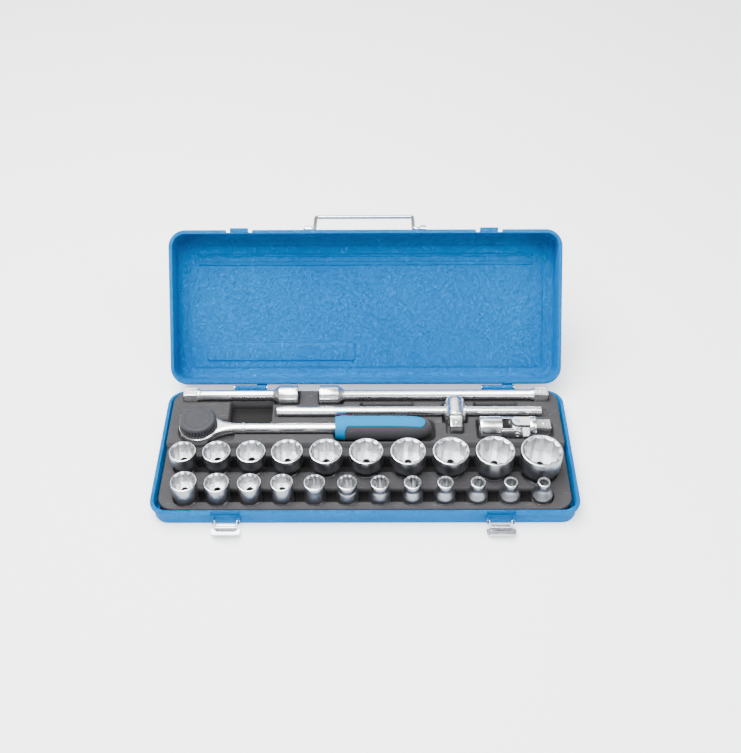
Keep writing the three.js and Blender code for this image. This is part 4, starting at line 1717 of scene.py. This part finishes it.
@dataclass
class Tray:
    """The moulded tray, one continuous skin of lands, troughs and wells."""

    half_width: float = 210.5
    half_depth: float = 79.6
    corner: float = 17.0
    floor: float = 1.5
    low_land: float = 19.5
    high_land: float = 27.0
    step_y: float = 2.5
    pitch: float = 0.8
    draft: float = 1.1
    lip: float = 1.0
    pits: list[Pit] = field(default_factory=list)

    def gather(self) -> None:
        """Lists every hollow from the places of the tools that lie in it."""
        pits = self.pits
        for size in BACK_SIZES + FRONT_SIZES:
            extent = Extent.of(f"socket_{size}_mm")
            radius = Socket(size).drive_radius() + 1.3
            pits.append(round_pit(extent.centre.x, extent.centre.y, radius, 3.0))
        # A trough along each row of sockets.
        pits.append(Pit(-199, 190, -31, -9.5, 3.0))
        pits.append(Pit(-191, 190, -70, -53.5, 3.0))
        # The ratchet's head, drive, neck, shaft and grip.
        head, y = Ratchet.head_x, Ratchet.y
        pits.append(round_pit(head, y, 22.6, 21.2))
        pits.append(round_pit(head, y, 10.4, 5.0))
        pits.append(Pit(head + 10, head + 38, y - 15.5, y + 15.5, 21.2, 5.0))
        pits.append(Pit(head + 30, -30, y - 6.2, y + 6.2, 22.8, 1.0))
        pits.append(Pit(-34, 75, y - 17, y + 14.4, 14.8, 9.0))
        # The extension bars, each with a wider end for its head.
        for node, left in (("extension_bar_125", False), ("extension_bar_250", True)):
            extent = Extent.of(node)
            x0, x1, mid = extent.low.x, extent.high.x, Extension.y
            pits.append(Pit(x0 - 1.6, x1 + 1.6, mid - 6.9, mid + 6.9, 23.8, 1.5))
            start, end = (x0, x0 + 25) if left else (x1 - 25, x1)
            pits.append(Pit(start - 1.6, end + 1.6, mid - 11.0, mid + 9.8, 19.8, 2.0))
        # The T-bar's rod, the barrel of its head and the head's square.
        rod = Extent.of("t_bar_rod")
        pits.append(Pit(rod.low.x - 1.8, rod.high.x + 8, 39.5, 50.9, 24.4, 1.5))
        pits.append(Pit(83, 110.5, 30.5, 59.7, 18.4, 2.0))
        pits.append(Pit(86.6, 105.4, 15.4, 31.7, 22.0, 2.0))
        # The universal joint and its square.
        pits.append(Pit(119, 183.5, 8.2, 36.2, 16.7, 3.0))
        pits.append(Pit(181.5, 200.5, 10.6, 31.0, 20.6, 2.0))
        # Finger wells beside the tools.
        pits.append(Pit(-148, -101, 31, 66, 12.0, 4.0))
        pits.append(Pit(-6, 53, 53, 62.5, 14.0, 3.5))
        pits.append(Pit(118, 166, 52, 62.5, 16.0, 3.5))

    def height(self, x: np.ndarray, y: np.ndarray) -> np.ndarray:
        """The tray's surface over the given points.

        Args:
            x: Points' x.
            y: Points' y.

        Returns:
            Heights.
        """
        rise = smooth((y - self.step_y + self.draft) / self.draft)
        top = self.low_land + (self.high_land - self.low_land) * rise
        rim = Pit(-self.half_width, self.half_width, -self.half_depth, self.half_depth, 0, self.corner)
        inward = np.clip(-rim.distance(x, y), 0, self.lip)
        top = top - self.lip + np.sqrt(np.maximum(0, self.lip**2 - (self.lip - inward) ** 2))
        step = np.clip(y - self.step_y, 0, self.lip)
        above = np.where(y > self.step_y, self.lip - np.sqrt(self.lip**2 - (self.lip - step) ** 2), 0)
        result = top - above * 0.6
        for pit in self.pits:
            outside = pit.distance(x, y)
            lip = np.clip(outside, 0, self.lip)
            edge = 0.75 * (self.lip - np.sqrt(np.maximum(0, self.lip**2 - (self.lip - lip) ** 2)))
            wall = smooth(1 + np.minimum(outside, 0) / self.draft)
            hollow = pit.floor + (top - 0.75 * self.lip - pit.floor) * wall
            hollow = np.where(outside > 0, top - edge, np.minimum(hollow, top))
            result = np.minimum(result, hollow)
        return result

    def form(self) -> Form:
        """The tray as one closed skin on a fine grid.

        Returns:
            The form.
        """
        columns = int(2 * self.half_width / self.pitch) + 1
        rows = int(2 * self.half_depth / self.pitch) + 1
        v = np.linspace(-self.half_depth, self.half_depth, rows)[:, None]
        into = np.clip(np.abs(v) - (self.half_depth - self.corner), 0, self.corner)
        reach = self.half_width - self.corner + np.sqrt(self.corner**2 - into**2)
        x = np.linspace(-1, 1, columns)[None, :] * reach
        y = np.broadcast_to(v, x.shape)
        z = self.height(x, y)
        form = Form()
        top = form.ring(np.stack([x, y, z], -1).reshape(-1, 3).tolist())
        for row in range(rows - 1):
            start = row * columns
            for i in range(start, start + columns - 1):
                form.face((top[i], top[i + 1], top[i + columns + 1], top[i + columns]))
        edge = list(range(columns))
        edge += [row * columns + columns - 1 for row in range(1, rows)]
        edge += [(rows - 1) * columns + i for i in range(columns - 2, -1, -1)]
        edge += [row * columns for row in range(rows - 2, 0, -1)]
        foot = form.ring([(form.points[i][0], form.points[i][1], self.floor) for i in edge])
        form.bridge(foot, edge)
        form.lid(foot, False)
        return form

    def build(self) -> None:
        """Builds the tray."""
        self.gather()
        finish = (Finish.TRAY,)
        Piece("moulded_tool_tray", self.form(), "case", finish, ("tray_insert",), 180).build()


def smooth(share: np.ndarray) -> np.ndarray:
    """A smooth step from 0 to 1."""
    held = np.clip(share, 0, 1)
    return held * held * (3 - 2 * held)


# ------------------------------------------------------------------ fittings


@dataclass
class Latch:
    """One latch: a wire link and a lever that hooks over the lid's catch."""

    side: Side
    pivot_y: float = -87.6
    pivot_z: float = 11.0
    link_half: float = 11.2
    link_reach: float = 8.0
    link_droop: float = -12.0
    wire: float = 0.9
    half_barrel: float = 9.4
    lever_tilt: float = 9.0
    sheet: float = 1.1

    @property
    def x(self) -> float:
        """The latch's place along the front."""
        return LEFT_LATCH_X if self.side is Side.LEFT else RIGHT_LATCH_X

    def link(self) -> Form:
        """The bent wire that joins the bracket to the lever."""
        near, far, arm = Vector((0, self.pivot_y, self.pivot_z)), self.link_end(), self.link_half
        corners = [near + Vector((-arm - 3.1, 0, 0)), near + Vector((-arm, 0, 0))]
        corners += [far + Vector((-arm, 0, 0)), far + Vector((arm, 0, 0))]
        corners += [near + Vector((arm, 0, 0)), near + Vector((arm + 3.1, 0, 0))]
        path = rounded_path(corners, 1.3, 6)
        return swept_wire(path, self.wire, 16).moved(Matrix.Translation((self.x, 0, 0)))

    def link_end(self) -> Vector:
        """Where the lever turns on the link, before the latch is set along the front."""
        angle, reach = math.radians(self.link_droop), self.link_reach
        away, up = reach * math.cos(angle), reach * math.sin(angle)
        return Vector((0, self.pivot_y - away, self.pivot_z + up))

    def lever(self) -> Form:
        """The stamped lever: rolled barrel, pull plate and turned-up lip.

        Returns:
            The form.
        """
        t = self.sheet / 2
        spine = [(4.9, -2.55, 9.4), (1.6, -2.55, 9.4), (0.9, -2.55, 10.2), (0.2, -2.55, 13.4)]
        spine += [(-0.6, -2.55, 14.8), (-2.0, -2.55, 15.0), (-5.2, -2.55, 14.6), (-6.6, -2.5, 13.7)]
        spine += [(-7.5, -2.2, 12.8), (-8.0, -1.5, 12.2), (-8.05, -0.4, 12.0), (-8.05, 1.2, 11.7)]
        spine += [(-8.05, 2.1, 11.0)]
        form = Form()
        rings = []
        for i, (y, z, half) in enumerate(spine):
            before, after = spine[max(0, i - 1)], spine[min(len(spine) - 1, i + 1)]
            ahead = Vector((after[0] - before[0], after[1] - before[1])).normalized()
            normal = Vector((ahead.y, -ahead.x))
            ring = []
            for x, out in self.section(half, t):
                ring.append((x, y + normal.x * out, z + normal.y * out))
            rings.append(ring)
        form.loft(rings)
        form.merge(self.barrel())
        place = Matrix.Translation(Vector((self.x, 0, 0)) + self.link_end())
        return form.moved(place @ Matrix.Rotation(math.radians(self.lever_tilt), 4, "X"))

    def section(self, half: float, t: float) -> list[Flat]:
        """The lever's cross-section with rounded edges and a shallow middle bead.

        Args:
            half: Half its width.
            t: Half the sheet's thickness.

        Returns:
            (across, out) points.
        """
        soft = 0.3
        points = [(-half, -t + soft), (-half + soft, -t), (-half * 0.5, -t), (0.0, -t)]
        points += [(half * 0.5, -t), (half - soft, -t), (half, -t + soft), (half, t - soft)]
        points += [(half - soft, t), (half * 0.5, t), (0.0, t), (-half * 0.5, t), (-half + soft, t)]
        return points + [(-half, t - soft)]

    def barrel(self) -> Form:
        """The barrel rolled round the link's wire, with the seam where it closes.

        Returns:
            The form.
        """
        rings = []
        outer, inner, half, steps = 2.0, 1.14, self.half_barrel, 24
        for i in range(steps + 1):
            angle = math.radians(-118) + math.radians(340) * i / steps
            c, s = math.cos(angle), math.sin(angle)
            ring = [(-half, outer * c, outer * s), (half, outer * c, outer * s)]
            ring += [(half, inner * c, inner * s), (-half, inner * c, inner * s)]
            rings.append(ring)
        form = Form()
        form.loft(rings)
        web = slab(rounded_rectangle(-half, half, -1.3, 1.3, 0.3, 2), -2.7, -1.5, 0.1)
        form.merge(web)
        return form

    def build(self) -> None:
        """Builds the latch's moving pieces and dresses its fixed ones."""
        side, finish = self.side.value, (Finish.WIRE,)
        node = f"latch_link_{side}"
        Piece(f"latch_wire_link_{side}", self.link(), node, finish, (node,), 60).build()
        node = f"latch_lever_{side}"
        Piece(f"latch_pull_lever_{side}", self.lever(), node, finish, (node,), 34).build()
        dress(f"latch_bracket_{side}", Finish.ENAMEL, 0.3)
        dress(f"lid_catch_{side}", Finish.ENAMEL, 0.35)


@dataclass
class CarryingHandle:
    """The wire handle and the two clips that hold it."""

    half_width: float = 55.5
    shift: float = -1.6
    leg: float = 30.0
    wire: float = 2.3
    tip: float = 68.0
    bend: float = 4.0
    pivot_y: float = -87.5
    pivot_z: float = 42.0
    slope: float = 60.0

    def form(self, swing: Matrix) -> Form:
        """The bent wire, drawn on the shut lid and swung open with it.

        Args:
            swing: The lid's turn from shut to open.

        Returns:
            The form.
        """
        angle = math.radians(self.slope)
        y, z = self.pivot_y - self.leg * math.cos(angle), self.pivot_z + self.leg * math.sin(angle)
        near, far = (self.pivot_y, self.pivot_z), (y, z)
        corners = [(-self.tip, *near), (-self.half_width, *near), (-self.half_width, *far)]
        corners += [(self.half_width, *far), (self.half_width, *near), (self.tip, *near)]
        path = rounded_path([Vector(corner) for corner in corners], self.bend, 10)
        slid = Matrix.Translation((self.shift, 0, 0))
        return swept_wire(path, self.wire, 20).moved(swing @ slid)

    def build(self, swing: Matrix) -> None:
        """Builds the handle.

        Args:
            swing: The lid's turn from shut to open.
        """
        form, finish = self.form(swing), (Finish.WIRE,)
        Piece("carrying_handle_wire", form, "handle", finish, ("handle_bail",), 60).build()
        for side in Side:
            dress(f"handle_clip_{side.value}", Finish.ZINC, 0.35)


# ------------------------------------------------------------------ studio


@dataclass
class Studio:
    """The pale floor, the soft lights and the camera."""

    camera_place: Point = (13.09, -726.01, 857.75)
    pitch: float = 45.128
    yaw: float = -0.537
    roll: float = -0.508
    lens: float = 49.91
    floor_tone: Colour = (0.93, 0.935, 0.94)
    floor_glow: float = 0.75
    world_glow: float = 0.40

    def floor(self) -> None:
        """Lays a wide pale floor under the case."""
        form = Form()
        outline = rounded_rectangle(-9000, 9000, -9000, 9000, 900, 8)
        form.face(form.ring([(x, y, -0.05) for x, y in outline]))
        mesh = bpy.data.meshes.new("floor")
        mesh.from_pydata([Vector(p) * MM for p in form.points], [], form.faces)
        recipe = Recipe("pale_floor")
        recipe.fix(Base_Color=(*self.floor_tone, 1.0), Roughness=0.9, Specular_IOR_Level=0.1)
        recipe.fix(Emission_Color=(1.0, 1.0, 1.0, 1.0), Emission_Strength=self.floor_glow)
        mesh.materials.append(recipe.material)
        floor = bpy.data.objects.new("floor", mesh)
        bpy.context.scene.collection.objects.link(floor)

    def light(self, name: str, place: Point, size: Flat, power: float, aim: Point) -> None:
        """Adds a soft rectangular light.

        Args:
            name: Its name.
            place: Where it hangs, in metres.
            size: Its sides in metres.
            power: Its power in watts.
            aim: The point that it faces, in metres.
        """
        lamp = bpy.data.lights.new(name, "AREA")
        lamp.shape = "RECTANGLE"
        lamp.size, lamp.size_y = size
        lamp.energy = power
        holder = bpy.data.objects.new(name, lamp)
        holder.location = place
        direction = Vector(aim) - Vector(place)
        holder.rotation_euler = direction.to_track_quat("-Z", "Y").to_euler()
        bpy.context.scene.collection.objects.link(holder)

    def surroundings(self) -> None:
        """Fills the surroundings with an even pale light."""
        world = bpy.data.worlds.new("studio")
        bpy.context.scene.world = world
        world.use_nodes = True
        background = next(n for n in world.node_tree.nodes if n.type == "BACKGROUND")
        background.inputs["Color"].default_value = (1.0, 1.0, 1.0, 1.0)
        background.inputs["Strength"].default_value = self.world_glow

    def camera(self) -> None:
        """Places the camera by its pitch, yaw and roll."""
        pitch, yaw, roll = (math.radians(a) for a in (self.pitch, self.yaw, self.roll))
        level = Vector((math.cos(yaw), -math.sin(yaw), 0))
        onward = Vector((math.sin(yaw), math.cos(yaw), 0))
        ahead = onward * math.cos(pitch) - Vector((0, 0, 1)) * math.sin(pitch)
        upright = level.cross(ahead)
        right = level * math.cos(roll) + upright * math.sin(roll)
        up = upright * math.cos(roll) - level * math.sin(roll)
        lens = bpy.data.cameras.new("camera")
        lens.lens = self.lens
        lens.sensor_fit = "AUTO"
        lens.sensor_width = 36
        lens.clip_start, lens.clip_end = 0.05, 50
        lens.dof.use_dof = False
        camera = bpy.data.objects.new("camera", lens)
        turn = Matrix((right, up, -ahead)).transposed().to_4x4()
        camera.matrix_world = Matrix.Translation(Vector(self.camera_place) * MM) @ turn
        bpy.context.scene.collection.objects.link(camera)
        bpy.context.scene.camera = camera

    def build(self) -> None:
        """Builds the floor, the lights and the camera."""
        self.floor()
        self.surroundings()
        self.light("key_softbox", (-0.35, -0.1, 1.5), (1.9, 1.1), 100, (0, 0.03, 0.03))
        self.light("side_softbox", (1.1, -0.6, 1.5), (0.9, 1.1), 20, (0, 0.05, 0.02))
        self.light("back_softbox", (-0.2, 1.6, 1.4), (2.8, 1.1), 26, (0, 0.0, 0.03))
        self.light("front_fill", (0.0, -2.1, 0.6), (2.4, 0.8), 7, (0, 0, 0.05))
        self.camera()


# ------------------------------------------------------------------ assembly


def main() -> None:
    """Builds every sub-assembly in order."""
    logging.basicConfig(level=logging.INFO, format="%(name)s: %(message)s")
    case = PressedCase()
    case.build()
    Tray().build()
    for side in Side:
        Latch(side).build()
    CarryingHandle().build(case.swing())
    for size in BACK_SIZES + FRONT_SIZES:
        Socket(size).build()
    Ratchet().build()
    Extension("extension_bar_125", "extension_125", False).build()
    Extension("extension_bar_250", "extension_250", True).build()
    TBar().build()
    UniversalJoint().build()
    Studio().build()


if __name__ == "__main__":
    main()
